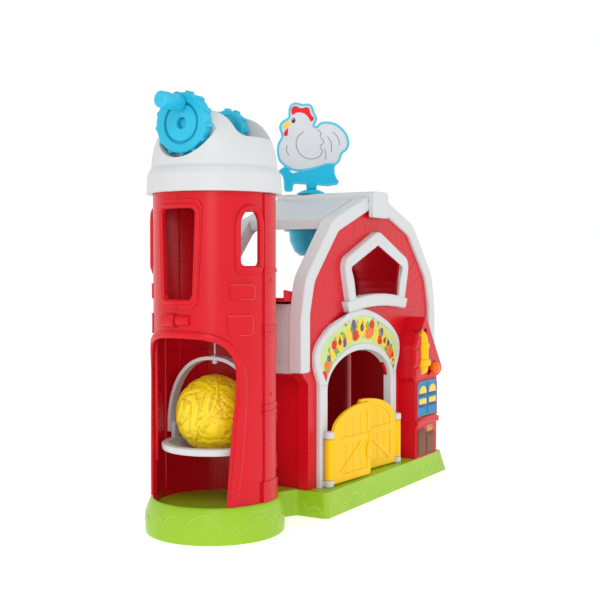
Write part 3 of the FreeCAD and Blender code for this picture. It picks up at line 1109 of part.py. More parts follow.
# ---------------------------------------------------------------- house front
HL, HR, HF = P["house_left"], P["house_right"], P["house_front"]
HM = (HL + HR) / 2
hb = box(HL, HR, HF, RF - 0.02, H0, 108.0)
hb = hb.makeFillet(1.8, [e for e in hb.Edges if e.BoundBox.ZLength > 50 and e.BoundBox.YMax < HF + 0.1])
GAB = [(190.0, 104.6), (186.2, 107.8), (184.9, 113.0), (187.6, 118.6), (187.9, 140.0), (195.0, 151.6), (203.4, 155.6), (213.6, 169.4), (218.4, 170.4),
       (259.6, 115.2), (259.0, 109.6), (251.0, 105.4)]
GAB_R = [2.4, 4, 4, 2.4, 4, 2.4, 3, 2.4, 2.4, 2.4, 2.4, 2.4]
GAB_IN = [(192.0, 107.6), (188.8, 110.0), (187.7, 113.4), (190.3, 119.4), (190.6, 139.2), (196.8, 149.2), (205.0, 153.2), (214.4, 165.8), (216.8, 166.2),
          (256.2, 113.6), (255.8, 111.4), (250.4, 108.0)]
gab = plate(rounded_outline(xz(GAB, HF), GAB_R), Vector(0, RF - 0.02 - HF, 0))
gab = rounded(gab, 1.2, "y", [HF])
gab_in = plate(rounded_outline(xz(GAB_IN, HF + W), 0), Vector(0, 40, 0))
house = hb.fuse(gab)
house = house.cut(box(HL + W, HR - W, HF + W, RF + 1, H0 - 1, 104.0))
house = house.cut(gab_in)
# round recess for the yellow roller, closed behind
spx, spy = P["spin_x"], P["spin_y"]
boss = cyl(10.8, Vector(spx, spy, 106.0), Zv, 56.0).fuse(cyl(12.2, Vector(spx, spy, 115.9), Zv, 14.0)).common(gab)
house = house.fuse(boss)
house = house.cut(cyl(9.2, Vector(spx, spy, 109.3), Zv, 48.4)).cut(cyl(10.7, Vector(spx, spy, 117.4), Zv, 10.8))
house = house.cut(box(spx - 9.2, spx + 9.2, -8, spy, 109.3, 157.7)).cut(box(spx - 10.7, spx + 10.7, -8, spy, 117.4, 128.2))
house = house.cut(cyl(1.5, Vector(spx, spy, 106.5), Zv, 54.0))
# slanted slot for the orange slider knob, with a flat land behind it
kx, kz = P["knob_x"], P["knob_z"]
ka = P["knob_slope"]
kt = P["knob_travel"]


def slot_solid(half_len, half_wide, y0, y1):
    b_ = box(-half_len, half_len, y0, y1, -half_wide, half_wide)
    for s_ in (-1, 1):
        b_ = b_.fuse(cyl(half_wide, Vector(s_ * half_len, y0, 0), Yv, y1 - y0))
    b_ = b_.removeSplitter()
    b_.rotate(Vector(0, 0, 0), Yv, -ka)
    b_.translate(Vector(kx, 0, kz))
    return b_


house = house.cut(slot_solid(kt + 1.7, 2.8, HF - 4, HF + W + 1))
house = house.cut(slot_solid(kt + 0.1, 4.4, HF + W, HF + 5.3))
house = house.cut(plate(rounded_outline(xz([(HL + 2.8, 65.8), (HR - 1.9, 65.8), (HR - 1.9, 103.2), (HL + 2.8, 103.2)], HF - 1), [1, 1, 7, 7]), Vector(0, 1.9, 0)))
house = house.cut(box(HL + 2.8, HL + 21.8, HF - 1, HF + 0.7, 24.6, 52.8)).cut(box(HL + 23.8, HL + 45.8, HF - 1, HF + 0.7, 24.6, 47.0))
ledge = rounded(arc_bar(HM, (HR - HL) / 2 + 0.9, (HR - HL) / 2 + 0.9, 58.2, 2.2, 65.4, 3.0, HF - 2.4, HF + 6.0), 1.7, "y", [HF - 2.4])
house = house.fuse(ledge)
house = house.cut(box(HL + W, HR - W, HF + W, RF + 1, 50.0, 70.0))
feature("house_front", single(house.removeSplitter(), "house_front"), "barn")
feature("house_window", plate(rounded_outline(xz([(HL + 3.0, 66.0), (HR - 2.1, 66.0), (HR - 2.1, 103.0), (HL + 3.0, 103.0)], HF - 0.5), [1, 1, 6.8, 6.8]), Vector(0, 1.35, 0)), "barn")
feature("house_doors", Part.makeCompound([
    plate(rounded_outline(xz([(HL + 3.0, 24.8), (HL + 21.6, 24.8), (HL + 21.6, 52.6), (HL + 3.0, 52.6)], HF - 0.5), [0.5, 0.5, 3, 3]), Vector(0, 1.15, 0)),
    plate(rounded_outline(xz([(HL + 24.0, 24.8), (HL + 45.6, 24.8), (HL + 45.6, 46.8), (HL + 24.0, 46.8)], HF - 0.5), [0.5, 0.5, 3, 3]), Vector(0, 1.15, 0))]), "barn")

# yellow roller on its pin
turned("yellow_roller", [
    (1.56, 110.2), (3.6, 110.2), (5.8, 112.6), (6.8, 117.0), (7.2, 118.6), (9.2, 119.2), (9.9, 122.0), (9.2, 125.2), (7.3, 126.6), (7.3, 137.6),
    (8.2, 138.4), (8.6, 140.4), (8.0, 142.4), (6.9, 143.6), (6.3, 148.0), (4.9, 152.4), (3.0, 155.0), (1.56, 155.8)], "barn", None, (q("spin_x"), q("spin_y"), 0))
turned("roller_pin", [(0, 107.0), (1.5, 107.0), (1.5, 160.0), (0, 160.0)], "barn", None, (q("spin_x"), q("spin_y"), 0))

# orange slider knob: round head, neck through the slot, retaining clip behind the wall
RY = Rotation(Vector(1, 0, 0), 90)       # turned piece whose +Z points to -Y
kr = q("knob_rad")
turned("slider_knob", [(0, -5.4), (1.6, -5.4), (1.6, -3.2), (2.5, -3.2), (2.5, 0.3), (4.6, 0.3), (kr - 0.5, 2.0), (kr, 4.4), (kr - 0.5, 6.6), (kr - 2.2, 8.6), (2.2, 9.7), (0, 9.9)],
       "barn", RY, (q("knob_x"), q("house_front"), q("knob_z")))
turned("slider_clip", [(1.6, -4.8), (4.0, -4.8), (4.0, -2.8), (2.5, -2.8), (2.5, -3.2), (1.6, -3.2)],
       "barn", RY, (q("knob_x"), q("house_front"), q("knob_z")))

# ---------------------------------------------------------------- weathervane
turned("vane_housing", [
    (6.5, 259.6), (q("bowl_rad") - 2.2, 259.6), (q("bowl_rad") - 3.0, 250.0), (q("bowl_rad") - 7.6, 240.6), (q("bowl_rad") - 11.5, 236.6), (0, 236.2),
    (0, 234.2), (q("bowl_rad") - 11.0, 234.4), (q("bowl_rad") - 5.6, 238.6), (q("bowl_rad") - 0.9, 249.0), (q("bowl_rad"), 258.6), (q("bowl_flange"), 259.4),
    (q("bowl_flange"), 262.2), (6.5, 262.2)], "vane")
# hanger tube between the ridge and the housing
turned("vane_hanger", [(q("post_rad") + 0.06, 262.3), (9.0, 262.3), (9.0, 265.0), (7.0, 267.0), (7.0, 288.4), (12.0, 290.4), (12.0, 294.2), (q("post_rad") + 0.06, 294.2)], "vane")
VR = Rotation(Vector(0, 0, 1), P["vane_turn"])
turned("vane_spindle", [(0, 252.0), (q("post_rad"), 252.0), (q("post_rad"), q("ridge_high") + 0.4), (14.8, q("ridge_high") + 0.4), (15.0, q("ridge_high") + 1.2), (10.0, q("ridge_high") + 3.8),
                        (5.6, q("ridge_high") + 5.2), (4.2, q("ridge_high") + 6.0), (4.2, q("ridge_high") + 11.6), (0, q("ridge_high") + 11.6)], "vane", VR)
turned("vane_retainer", [(q("post_rad"), 253.4), (8.4, 253.4), (8.4, 255.6), (q("post_rad"), 255.6)], "vane", VR)
turned("vane_screw", [(0, 249.8), (3.4, 249.8), (3.4, 251.9), (0, 251.9)], "vane", VR)

# arrow board and the rooster board that slots into it; drawn in the vane's own plane, X along the board
RB = P["ridge_high"] + 8.4


def closed_spline(pts, y):
    bs = Part.BSplineCurve()
    bs.interpolate([Vector(x, y, z) for x, z in pts], True)
    return Part.Wire([bs.toShape()])


arrow = [(-34.3, RB + 15.3), (-28.7, RB + 19.9), (-22.8, RB + 20.3), (-21.4, RB + 15.4), (-19.5, RB + 13.8), (-11.8, RB + 15.2), (-1.5, RB + 17.7),
         (8.7, RB + 21.3), (15.8, RB + 23.5), (25.0, RB + 23.4), (23.6, RB + 18.6), (23.8, RB + 13.5), (25.6, RB + 8.4), (28.4, RB + 4.8), (26.4, RB +
         1.8), (16.9, RB + 0.3), (-1.5, RB + 1.8), (-18.6, RB + 2.8), (-19.2, RB - 5.2), (-28.0, RB - 5.2), (-28.6, RB + 6.4), (-30.0, RB + 11.0)]
aw = rounded_outline(xz(arrow, -2.8), [1, 1.5, 1.5, 2, 1.2, 6, 10, 10, 3, 1.2, 6, 6, 6, 1.8, 1.8, 6, 8, 2.4, 2.6, 2.6, 5, 3])
ar = plate(aw, Vector(0, 5.6, 0))
ar = ar.fuse(cyl(5.4, Vector(0, 0, RB - 2.2), Zv, 5.6))
ar = ar.cut(cyl(4.2, Vector(0, 0, RB - 6), Zv, 9.2))
feature("vane_arrow", single(ar.removeSplitter(), "vane_arrow"), "vane", VR)

RZ = P["ridge_high"]
rooster = [(-27.2, RZ + 28.6), (-30.7, RZ + 31.6), (-33.8, RZ + 35.4), (-35.3, RZ + 41.5), (-35.5, RZ + 47.6), (-34.0, RZ + 53.7), (-31.6, RZ + 57.5),
           (-31.3, RZ + 61.0), (-32.2, RZ + 64.4), (-33.2, RZ + 67.8), (-32.6, RZ + 71.5), (-30.2, RZ + 74.9), (-26.6, RZ + 77.1), (-23.9, RZ + 79.3),
           (-23.7, RZ + 83.2), (-23.4, RZ + 87.3), (-22.0, RZ + 90.9), (-19.5, RZ + 93.2), (-15.9, RZ + 94.2), (-12.3, RZ + 93.4), (-9.0, RZ + 92.4),
           (-5.6, RZ + 92.9), (-2.1, RZ + 92.6), (1.0, RZ + 90.1), (2.5, RZ + 86.2), (3.6, RZ + 83.0), (5.2, RZ + 80.3), (5.9, RZ + 77.1), (4.8, RZ +
           73.8), (3.3, RZ + 71.2), (4.0, RZ + 69.7), (6.0, RZ + 71.0), (9.2, RZ + 73.6), (13.8, RZ + 74.6), (19.9, RZ + 74.2), (26.1, RZ + 72.0),
           (31.2, RZ + 68.1), (35.8, RZ + 62.8), (38.3, RZ + 56.7), (38.7, RZ + 50.6), (36.8, RZ + 46.0), (33.4, RZ + 43.1), (31.2, RZ + 40.6), (30.2,
           RZ + 36.8), (28.1, RZ + 32.9), (24.1, RZ + 29.8), (15.9, RZ + 28.4), (6.7, RZ + 26.6), (-3.6, RZ + 24.6), (-11.8, RZ + 23.8), (-20.0, RZ +
           24.7)]
rw_ = closed_spline(rooster, -1.6)
rb = plate(rw_, Vector(0, 3.2, 0))
rb = rb.cut(ar)
feature("rooster_board", single(rb, "rooster_board"), "vane", VR)

doc.recompute()

# ---------------------------------------------------------------- checks and export
bad = []
for o_ in doc.Objects:
    st = [str(s) for s in o_.State]
    if any("Invalid" in s or "Error" in s for s in st):
        bad.append("%s %s" % (o_.Name, st))
for n_ in NODES:
    s_ = n_.Shape
    if s_.isNull() or not s_.isValid() or len(s_.Solids) < 1:
        bad.append("%s shape not usable" % n_.Label)
if bad:
    raise RuntimeError("; ".join(bad))

os.makedirs("parts", exist_ok=True)
for n_ in NODES:
    n_.Shape.exportStep("parts/%s.step" % n_.Label)
bb = FreeCAD.BoundBox()
for n_ in NODES:
    bb.add(n_.Shape.BoundBox)
print("nodes", len(NODES), "box x %.2f %.2f y %.2f %.2f z %.2f %.2f" % (bb.XMin, bb.XMax, bb.YMin, bb.YMax, bb.ZMin, bb.ZMax))
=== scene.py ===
import json
import math
import bpy
import bmesh
from mathutils import Vector, Matrix, noise


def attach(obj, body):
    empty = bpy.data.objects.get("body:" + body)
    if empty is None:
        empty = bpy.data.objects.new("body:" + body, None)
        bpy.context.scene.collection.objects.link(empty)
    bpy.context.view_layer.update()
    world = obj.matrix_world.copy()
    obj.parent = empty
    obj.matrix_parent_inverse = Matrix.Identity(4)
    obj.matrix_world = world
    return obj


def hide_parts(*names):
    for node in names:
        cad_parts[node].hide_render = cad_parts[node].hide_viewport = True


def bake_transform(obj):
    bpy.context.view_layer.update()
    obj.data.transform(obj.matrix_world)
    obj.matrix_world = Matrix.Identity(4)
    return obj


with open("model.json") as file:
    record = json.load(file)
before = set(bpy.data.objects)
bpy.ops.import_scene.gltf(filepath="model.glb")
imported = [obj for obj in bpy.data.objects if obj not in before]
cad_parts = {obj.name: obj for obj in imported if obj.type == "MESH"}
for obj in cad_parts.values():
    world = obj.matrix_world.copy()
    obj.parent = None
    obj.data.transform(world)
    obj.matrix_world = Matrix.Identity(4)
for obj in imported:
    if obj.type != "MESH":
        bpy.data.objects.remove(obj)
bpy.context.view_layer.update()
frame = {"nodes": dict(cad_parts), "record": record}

NODES = frame["nodes"]
SX, SY = -0.0639, -0.06115            # barn corner to the row's origin
SILO = Vector((-0.0748 + SX, 0.0678 + SY, 0.0))


def B(x, y, z):
    """Barn coordinates in millimetres to the row frame in metres."""
    return Vector((x / 1000 + SX, y / 1000 + SY, z / 1000))


def S(x, y, z):
    """Silo coordinates in millimetres to the row frame in metres."""
    return Vector((x / 1000, y / 1000, z / 1000)) + SILO


# ------------------------------------------------------------------ materials
def node(nt, kind, **kw):
    n = nt.nodes.new(kind)
    for k, v in kw.items():
        setattr(n, k, v)
    return n


def plastic(name, rgb, rough=0.34, grain=0.00012, grain_size=900.0, vary=0.05, spec=0.45, coat=0.0, sss=0.0, dark=None, bump=0.25):
    """Moulded plastic: slow colour drift, uneven gloss, fine moulded grain."""
    m = bpy.data.materials.new(name)
    m.use_nodes = True
    nt = m.node_tree
    nt.nodes.clear()
    out = node(nt, "ShaderNodeOutputMaterial")
    p = node(nt, "ShaderNodeBsdfPrincipled")
    nt.links.new(p.outputs[0], out.inputs[0])
    tc = node(nt, "ShaderNodeTexCoord")
    big = node(nt, "ShaderNodeTexNoise")
    big.inputs["Scale"].default_value = 18.0
    big.inputs["Detail"].default_value = 3.0
    nt.links.new(tc.outputs["Object"], big.inputs["Vector"])
    ramp = node(nt, "ShaderNodeValToRGB")
    lo = [max(0.0, c * (1 - vary)) for c in rgb]
    hi = [min(1.0, c * (1 + vary)) for c in rgb]
    if dark:
        lo = dark
    ramp.color_ramp.elements[0].position = 0.3
    ramp.color_ramp.elements[1].position = 0.7
    ramp.color_ramp.elements[0].color = (*lo, 1)
    ramp.color_ramp.elements[1].color = (*hi, 1)
    nt.links.new(big.outputs["Fac"], ramp.inputs["Fac"])
    nt.links.new(ramp.outputs["Color"], p.inputs["Base Color"])
    fine = node(nt, "ShaderNodeTexNoise")
    fine.inputs["Scale"].default_value = grain_size
    fine.inputs["Detail"].default_value = 2.0
    nt.links.new(tc.outputs["Object"], fine.inputs["Vector"])
    rr = node(nt, "ShaderNodeMapRange")
    rr.inputs["To Min"].default_value = rough - 0.05
    rr.inputs["To Max"].default_value = rough + 0.07
    nt.links.new(fine.outputs["Fac"], rr.inputs["Value"])
    nt.links.new(rr.outputs["Result"], p.inputs["Roughness"])
    edge = node(nt, "ShaderNodeBevel", samples=4)
    edge.inputs["Radius"].default_value = 0.0005
    b = node(nt, "ShaderNodeBump")
    nt.links.new(edge.outputs[0], b.inputs["Normal"])
    b.inputs["Strength"].default_value = bump
    b.inputs["Distance"].default_value = grain
    nt.links.new(fine.outputs["Fac"], b.inputs["Height"])
    nt.links.new(b.outputs["Normal"], p.inputs["Normal"])
    p.inputs["Specular IOR Level"].default_value = spec
    p.inputs["Coat Weight"].default_value = coat
    p.inputs["Coat Roughness"].default_value = 0.15
    if sss > 0:
        p.inputs["Subsurface Weight"].default_value = sss
        p.inputs["Subsurface Radius"].default_value = (0.004, 0.003, 0.002)
        p.inputs["Subsurface Scale"].default_value = 1.0
    return m


def steel(name, rgb=(0.6, 0.61, 0.62), rough=0.3):
    m = plastic(name, rgb, rough=rough, grain=0.00005, grain_size=1600.0, vary=0.06)
    m.node_tree.nodes["Principled BSDF"].inputs["Metallic"].default_value = 1.0
    return m


MAT = {
    "green": plastic("green_plastic", (0.320, 0.560, 0.020), rough=0.32, vary=0.05, spec=0.35, bump=0.10),
    "white": plastic("white_plastic", (0.640, 0.655, 0.660), rough=0.34, vary=0.02, spec=0.3, bump=0.12),
    "red": plastic("red_plastic", (0.640, 0.005, 0.014), rough=0.26, vary=0.04, spec=0.24, bump=0.08),
    "blue": plastic("blue_plastic", (0.020, 0.480, 0.690), rough=0.30, vary=0.05, spec=0.35, bump=0.12),
    "vane_blue": plastic("vane_blue_plastic", (0.002, 0.460, 0.700), rough=0.32, vary=0.05, spec=0.18, bump=0.10),
    "blue_deep": plastic("deep_blue_plastic", (0.010, 0.045, 0.260), rough=0.38, vary=0.05),
    "yellow": plastic("yellow_plastic", (0.960, 0.560, 0.002), rough=0.30, vary=0.03, spec=0.20, bump=0.10),
    "gold": plastic("gold_plastic", (0.820, 0.430, 0.030), rough=0.45, vary=0.08),
    "orange": plastic("orange_plastic", (0.900, 0.150, 0.006), rough=0.30, vary=0.05),
    "brown": plastic("brown_print", (0.115, 0.040, 0.014), rough=0.5, vary=0.2),
    "print": plastic("pale_green_print", (0.560, 0.700, 0.260), rough=0.45, vary=0.1),
    "hay": plastic("straw_yellow", (0.930, 0.640, 0.010), rough=0.30, vary=0.05, spec=0.4),
    "blue_light": plastic("light_blue_plastic", (0.050, 0.530, 0.720), rough=0.30, vary=0.03),
    "blue_grey": plastic("grey_blue_print", (0.100, 0.300, 0.450), rough=0.4, vary=0.05),
    "pane_yellow": plastic("pane_yellow_print", (0.930, 0.660, 0.040), rough=0.35, vary=0.05),
    "brown_light": plastic("plank_brown_print", (0.190, 0.070, 0.022), rough=0.5, vary=0.15),
    "leaf_green": plastic("leaf_green_print", (0.200, 0.500, 0.050), rough=0.45, vary=0.15),
    "leaf_dark": plastic("leaf_dark_print", (0.090, 0.330, 0.030), rough=0.45, vary=0.15),
    "print_light": plastic("plank_pale_print", (0.700, 0.800, 0.420), rough=0.45, vary=0.08),
    "sun_yellow": plastic("petal_yellow_print", (0.960, 0.620, 0.010), rough=0.4, vary=0.08),
    "fruit_red": plastic("fruit_red_print", (0.780, 0.012, 0.014), rough=0.35, vary=0.1, spec=0.2),
    "plum": plastic("plum_print", (0.180, 0.030, 0.250), rough=0.4, vary=0.12),
    "ink": plastic("black_print", (0.012, 0.012, 0.014), rough=0.3, vary=0.05),
    "line_grey": plastic("grey_print", (0.180, 0.220, 0.270), rough=0.4, vary=0.05),
    # green_light: lighter green that paints the highlight on the raised hedge and grass lines
    "green_light": plastic("green_painted_highlight", (0.410, 0.660, 0.070), rough=0.30, vary=0.05),
    # red_light: lighter red that paints the highlight on the brick edges and plank lines
    "red_light": plastic("red_painted_highlight", (0.740, 0.036, 0.050), rough=0.26, vary=0.04, spec=0.4),
    "window_blue": plastic("window_blue_print", (0.002, 0.250, 0.500), rough=0.36, vary=0.05, spec=0.2),
    "steel": steel("plated_steel"),
    "cord": plastic("cord_fibre", (0.72, 0.72, 0.70), rough=0.8, grain=0.0003, grain_size=2500.0, vary=0.08, bump=0.6),
    "rooster_white": plastic("board_white_plastic", (0.640, 0.670, 0.700), rough=0.38, vary=0.02, spec=0.3),
}

# straw ball: painted shade, the pressed grooves are coloured darker than the bundles' crests
hn = MAT["hay"].node_tree
ha = node(hn, "ShaderNodeAttribute", attribute_name="height")
groove_shade_ramp = node(hn, "ShaderNodeValToRGB")
groove_shade_ramp.color_ramp.elements[0].position = 0.04
groove_shade_ramp.color_ramp.elements[0].color = (0.600, 0.310, 0.004, 1)
groove_shade_ramp.color_ramp.elements[1].position = 0.62
groove_shade_ramp.color_ramp.elements[1].color = (0.950, 0.700, 0.010, 1)
# painted shade: low height in the grooves maps to the darker colour
hn.links.new(ha.outputs["Fac"], groove_shade_ramp.inputs["Fac"])
hn.links.new(groove_shade_ramp.outputs["Color"], hn.nodes["Principled BSDF"].inputs["Base Color"])
slot_of = {s["node"]: s["material_slot"] for s in frame["record"]["subparts"]}
def paint(ob, mat):
    ob.data.materials.clear()
    ob.data.materials.append(mat)


for n, ob in NODES.items():
    paint(ob, MAT[slot_of[n]])


# ------------------------------------------------------------------ mesh tools
RM, GM, RF, GF, HF = 131.5, 97.0, 21.5, 16.6, 2.2      # middles and front faces, barn millimetres
RO, RI = 51.8, 49.3                                      # silo shell
HIDDEN = {}


class Mesh:
    def __init__(self):
        self.v, self.f = [], []

    def add(self, verts, faces):
        k = len(self.v)
        self.v += [Vector(p) for p in verts]
        self.f += [tuple(i + k for i in f) for f in faces]


def make(name, mb, mat, body="playset", angle=38.0):
    me = bpy.data.meshes.new(name)
    me.from_pydata([tuple(p) for p in mb.v], [], mb.f)
    bm = bmesh.new()
    bm.from_mesh(me)
    bmesh.ops.recalc_face_normals(bm, faces=bm.faces)
    bm.to_mesh(me)
    bm.free()
    for p in me.polygons:
        p.use_smooth = True
    me.set_sharp_from_angle(angle=math.radians(angle))
    ob = bpy.data.objects.new(name, me)
    bpy.context.scene.collection.objects.link(ob)
    paint(ob, MAT[mat])
    if body:
        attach(ob, body)
    return ob


def spline(pts, per=8, closed=False):
    """Catmull-Rom curve through the points."""
    n = len(pts)
    out = []
    last = n if closed else n - 1
    for i in range(last):
        if closed:
            p0, p1, p2, p3 = pts[i - 1], pts[i], pts[(i + 1) % n], pts[(i + 2) % n]
        else:
            p1, p2 = pts[i], pts[i + 1]
            p0 = pts[i - 1] if i > 0 else p1 + (p1 - p2)
            p3 = pts[i + 2] if i + 2 < n else p2 + (p2 - p1)
        for k in range(per):
            t = k / per
            out.append(0.5 * ((2 * p1) + (p2 - p0) * t + (2 * p0 - 5 * p1 + 4 * p2 - p3) * t * t + (3 * p1 - p0 - 3 * p2 + p3) * t * t * t))
    if not closed:
        out.append(pts[-1].copy())
    return out


def V2(pts):
    return [Vector((a, b)) for a, b in pts]


def round_poly(pts, r, n=5):
    out = []
    m = len(pts)
    P_ = V2(pts)
    for i in range(m):
        a, b, c = P_[i - 1], P_[i], P_[(i + 1) % m]
        rr = r[i] if isinstance(r, (list, tuple)) else r
        va, vc = a - b, c - b
        la, lc = va.length, vc.length
        va.normalize()
        vc.normalize()
        ang = math.acos(max(-1, min(1, va.dot(vc))))
        if rr <= 0 or abs(math.pi - ang) < 1e-3:
            out.append(b)
            continue
        d = min(rr / math.tan(ang / 2), 0.49 * min(la, lc))
        rr = d * math.tan(ang / 2)
        bis = (va + vc).normalized()
        cen = b + bis * (rr / math.sin(ang / 2))
        p0, p1 = b + va * d, b + vc * d
        a0 = math.atan2(p0.y - cen.y, p0.x - cen.x)
        a1 = math.atan2(p1.y - cen.y, p1.x - cen.x)
        da = (a1 - a0 + math.pi) % (2 * math.pi) - math.pi
        for k in range(n + 1):
            t = a0 + da * k / n
            out.append(cen + Vector((math.cos(t), math.sin(t))) * rr)
    return out


def inset(pts, d):
    n = len(pts)
    area_ = sum(pts[i].x * pts[(i + 1) % n].y - pts[(i + 1) % n].x * pts[i].y for i in range(n))
    s_ = 1.0 if area_ > 0 else -1.0
    out = []
    for i in range(n):
        t = (pts[(i + 1) % n] - pts[i - 1])
        if t.length < 1e-9:
            out.append(pts[i].copy())
            continue
        t.normalize()
        out.append(pts[i] + Vector((-t.y, t.x)) * d * s_)
    return out


def slab(mb, pts, F, d0, d1, bev=0.3, steps=3):
    """Flat shape on a face: outline pts, frame F(u, w, d), from depth d0 out to d1, front edge rounded."""
    n = len(pts)
    rings = [(0.0, d0)]
    for k in range(steps + 1):
        t = math.pi / 2 * k / steps
        rings.append((bev * (1 - math.cos(t)), d1 - bev + bev * math.sin(t)))
    verts, faces = [], []
    for off, d in rings:
        q = inset(pts, off) if off > 0 else pts
        verts += [F(p.x, p.y, d) for p in q]
    for j in range(len(rings) - 1):
        for i in range(n):
            a, b = j * n + i, j * n + (i + 1) % n
            faces.append((a, b, b + n, a + n))
    faces.append(tuple(range((len(rings) - 1) * n, len(rings) * n)))
    faces.append(tuple(reversed(range(n))))
    mb.add(verts, faces)


def relief(mb, pts, nrm, w, h, closed=False, n=8, taper=True):
    """Raised line on a surface: half-buried oval tube along world points with their outward normals."""
    m = len(pts)
    L = [0.0]
    for i in range(1, m):
        L.append(L[-1] + (pts[i] - pts[i - 1]).length)
    tot = L[-1]
    verts, faces = [], []
    for i, p in enumerate(pts):
        a = pts[i - 1] if (i > 0 or closed) else pts[i]
        b = pts[(i + 1) % m] if (i < m - 1 or closed) else pts[i]
        t = (b - a).normalized()
        nn = (nrm[i] if isinstance(nrm, list) else nrm).normalized()
        side = t.cross(nn).normalized()
        nn = side.cross(t).normalized()
        k = 1.0
        if taper and not closed:
            e = min(L[i], tot - L[i]) / (2.4 * w)
            k = max(0.08, min(1.0, e)) ** 0.5
        for j in range(n):
            c = 2 * math.pi * j / n
            verts.append(p + side * (w * k * math.cos(c)) + nn * (h * k * math.sin(c)))
    for i in range(m if closed else m - 1):
        for j in range(n):
            i2 = (i + 1) % m
            a, b = i * n + j, i * n + (j + 1) % n
            c, d = i2 * n + (j + 1) % n, i2 * n + j
            faces.append((a, b, c, d))
    if not closed:
        faces.append(tuple(range(n)))
        faces.append(tuple(reversed(range((m - 1) * n, m * n))))
    mb.add(verts, faces)


def tube(mb, pts, r, n=10, closed=False):
    m = len(pts)
    verts, faces = [], []
    u = None
    for i, p in enumerate(pts):
        a = pts[i - 1] if (i > 0 or closed) else pts[i]
        b = pts[(i + 1) % m] if (i < m - 1 or closed) else pts[i]
        t = (b - a).normalized()
        if u is None:
            ref = Vector((0, 0, 1)) if abs(t.z) < 0.9 else Vector((1, 0, 0))
            u = ref
        u = (u - t * u.dot(t)).normalized()
        w_ = t.cross(u)
        rr = r[i] if isinstance(r, list) else r
        for j in range(n):
            c = 2 * math.pi * j / n
            verts.append(p + u * (rr * math.cos(c)) + w_ * (rr * math.sin(c)))
    for i in range(m if closed else m - 1):
        for j in range(n):
            i2 = (i + 1) % m
            faces.append((i * n + j, i * n + (j + 1) % n, i2 * n + (j + 1) % n, i2 * n + j))
    if not closed:
        faces.append(tuple(range(n)))
        faces.append(tuple(reversed(range((m - 1) * n, m * n))))
    mb.add(verts, faces)


def lathe(mb, prof, at, axis="z", n=48):
    """Turned piece: prof is (radius, height) in mm, at maps local (x, y, z) mm to the row frame."""
    verts, faces = [], []
    for r, h in prof:
        for j in range(n):
            c = 2 * math.pi * j / n
            verts.append(at(r * math.cos(c), r * math.sin(c), h))
    m = len(prof)
    for i in range(m - 1):
        for j in range(n):
            faces.append((i * n + j, i * n + (j + 1) % n, (i + 1) * n + (j + 1) % n, (i + 1) * n + j))
    faces.append(tuple(range(n)))
    faces.append(tuple(reversed(range((m - 1) * n, m * n))))
    mb.add(verts, faces)


def ellipse(cx, cy, rx, ry, rot=0.0, n=22):
    c, s_ = math.cos(math.radians(rot)), math.sin(math.radians(rot))
    out = []
    for k in range(n):
        t = 2 * math.pi * k / n
        x, y = rx * math.cos(t), ry * math.sin(t)
        out.append(Vector((cx + x * c - y * s_, cy + x * s_ + y * c)))
    return out


def leaf(cx, cy, length, width, rot, n=9):
    """Pointed leaf from its base point, growing along rot degrees."""
    c, s_ = math.cos(math.radians(rot)), math.sin(math.radians(rot))
    left, right = [], []
    for k in range(n + 1):
        t = k / n
        wv = width / 2 * math.sin(math.pi * t) ** 0.75 * (1 - 0.25 * t)
        left.append((length * t, wv))
        right.append((length * t, -wv))
    pts = left + list(reversed(right[1:-1]))
    return [Vector((cx + x * c - y * s_, cy + x * s_ + y * c)) for x, y in pts]


# ------------------------------------------------------------------ silo base: scalloped hedge line, lighter green as a painted highlight
def base_r(z):
    prof = [(58.8, 0), (59.2, 3), (59.2, 9), (58.8, 15), (58.0, 19.4), (57.0, 23), (56.0, 25.8), (54.7, 27.9), (53.3, 28.85)]
    for (r0, z0), (r1, z1) in zip(prof[:-1], prof[1:]):
        if z <= z1:
            return r0 + (r1 - r0) * (z - z0) / (z1 - z0)
    return prof[-1][0]


def cyl_pt(az, z, r):
    c = math.radians(az)
    return S(r * math.cos(c), r * math.sin(c), z)


def cyl_n(az):
    c = math.radians(az)
    return Vector((math.cos(c), math.sin(c), 0))


hedge = Mesh()
CUSPS = [(-190.5, 12.0), (-168.4, 14.2), (-140.3, 10.4), (-123.6, 6.4), (-88.6, 8.0), (-64.0, 7.0)]
APEX = [22.2, 24.2, 14.6, 20.6, 15.0]
CUSP2 = [(52.0, 8.0), (78.0, 7.5), (98.0, 11.0), (128.0, 8.0), (150.0, 10.5), (169.5, 12.0)]
APEX2 = [18.0, 15.0, 22.0, 15.5, 21.5]
for cs, ap in ((CUSPS, APEX), (CUSP2, APEX2)):
    for (a0, z0), (a1, z1), top in zip(cs[:-1], cs[1:], ap):
        line, nr = [], []
        N = 26
        for k in range(N + 1):
            t = k / N
            z = z0 + (z1 - z0) * t
            z = z + (top - z) * max(0.0, math.sin(math.pi * t)) ** 0.62
            az = a0 + (a1 - a0) * t
            line.append(cyl_pt(az, z, base_r(z)))
            nr.append(cyl_n(az))
        relief(hedge, line, nr, 0.00056, 0.00055)
# painted highlight: the hedge line is coloured lighter green than the base
make("silo_base_hedge_highlight_line", hedge, "green_light")

# ------------------------------------------------------------------ barn base: hedge scallops and grass blades, lighter green as a painted highlight
bf = Mesh()


def front_pt(x, z):
    return B(x, 2.0 * z / 22.7, z)


def face_line(mb, fn, pts, n_, w=0.0007, h=0.0005, per=7):
    line = [fn(p.x, p.y) for p in spline(V2(pts), per)]
    relief(mb, line, n_, w, h)


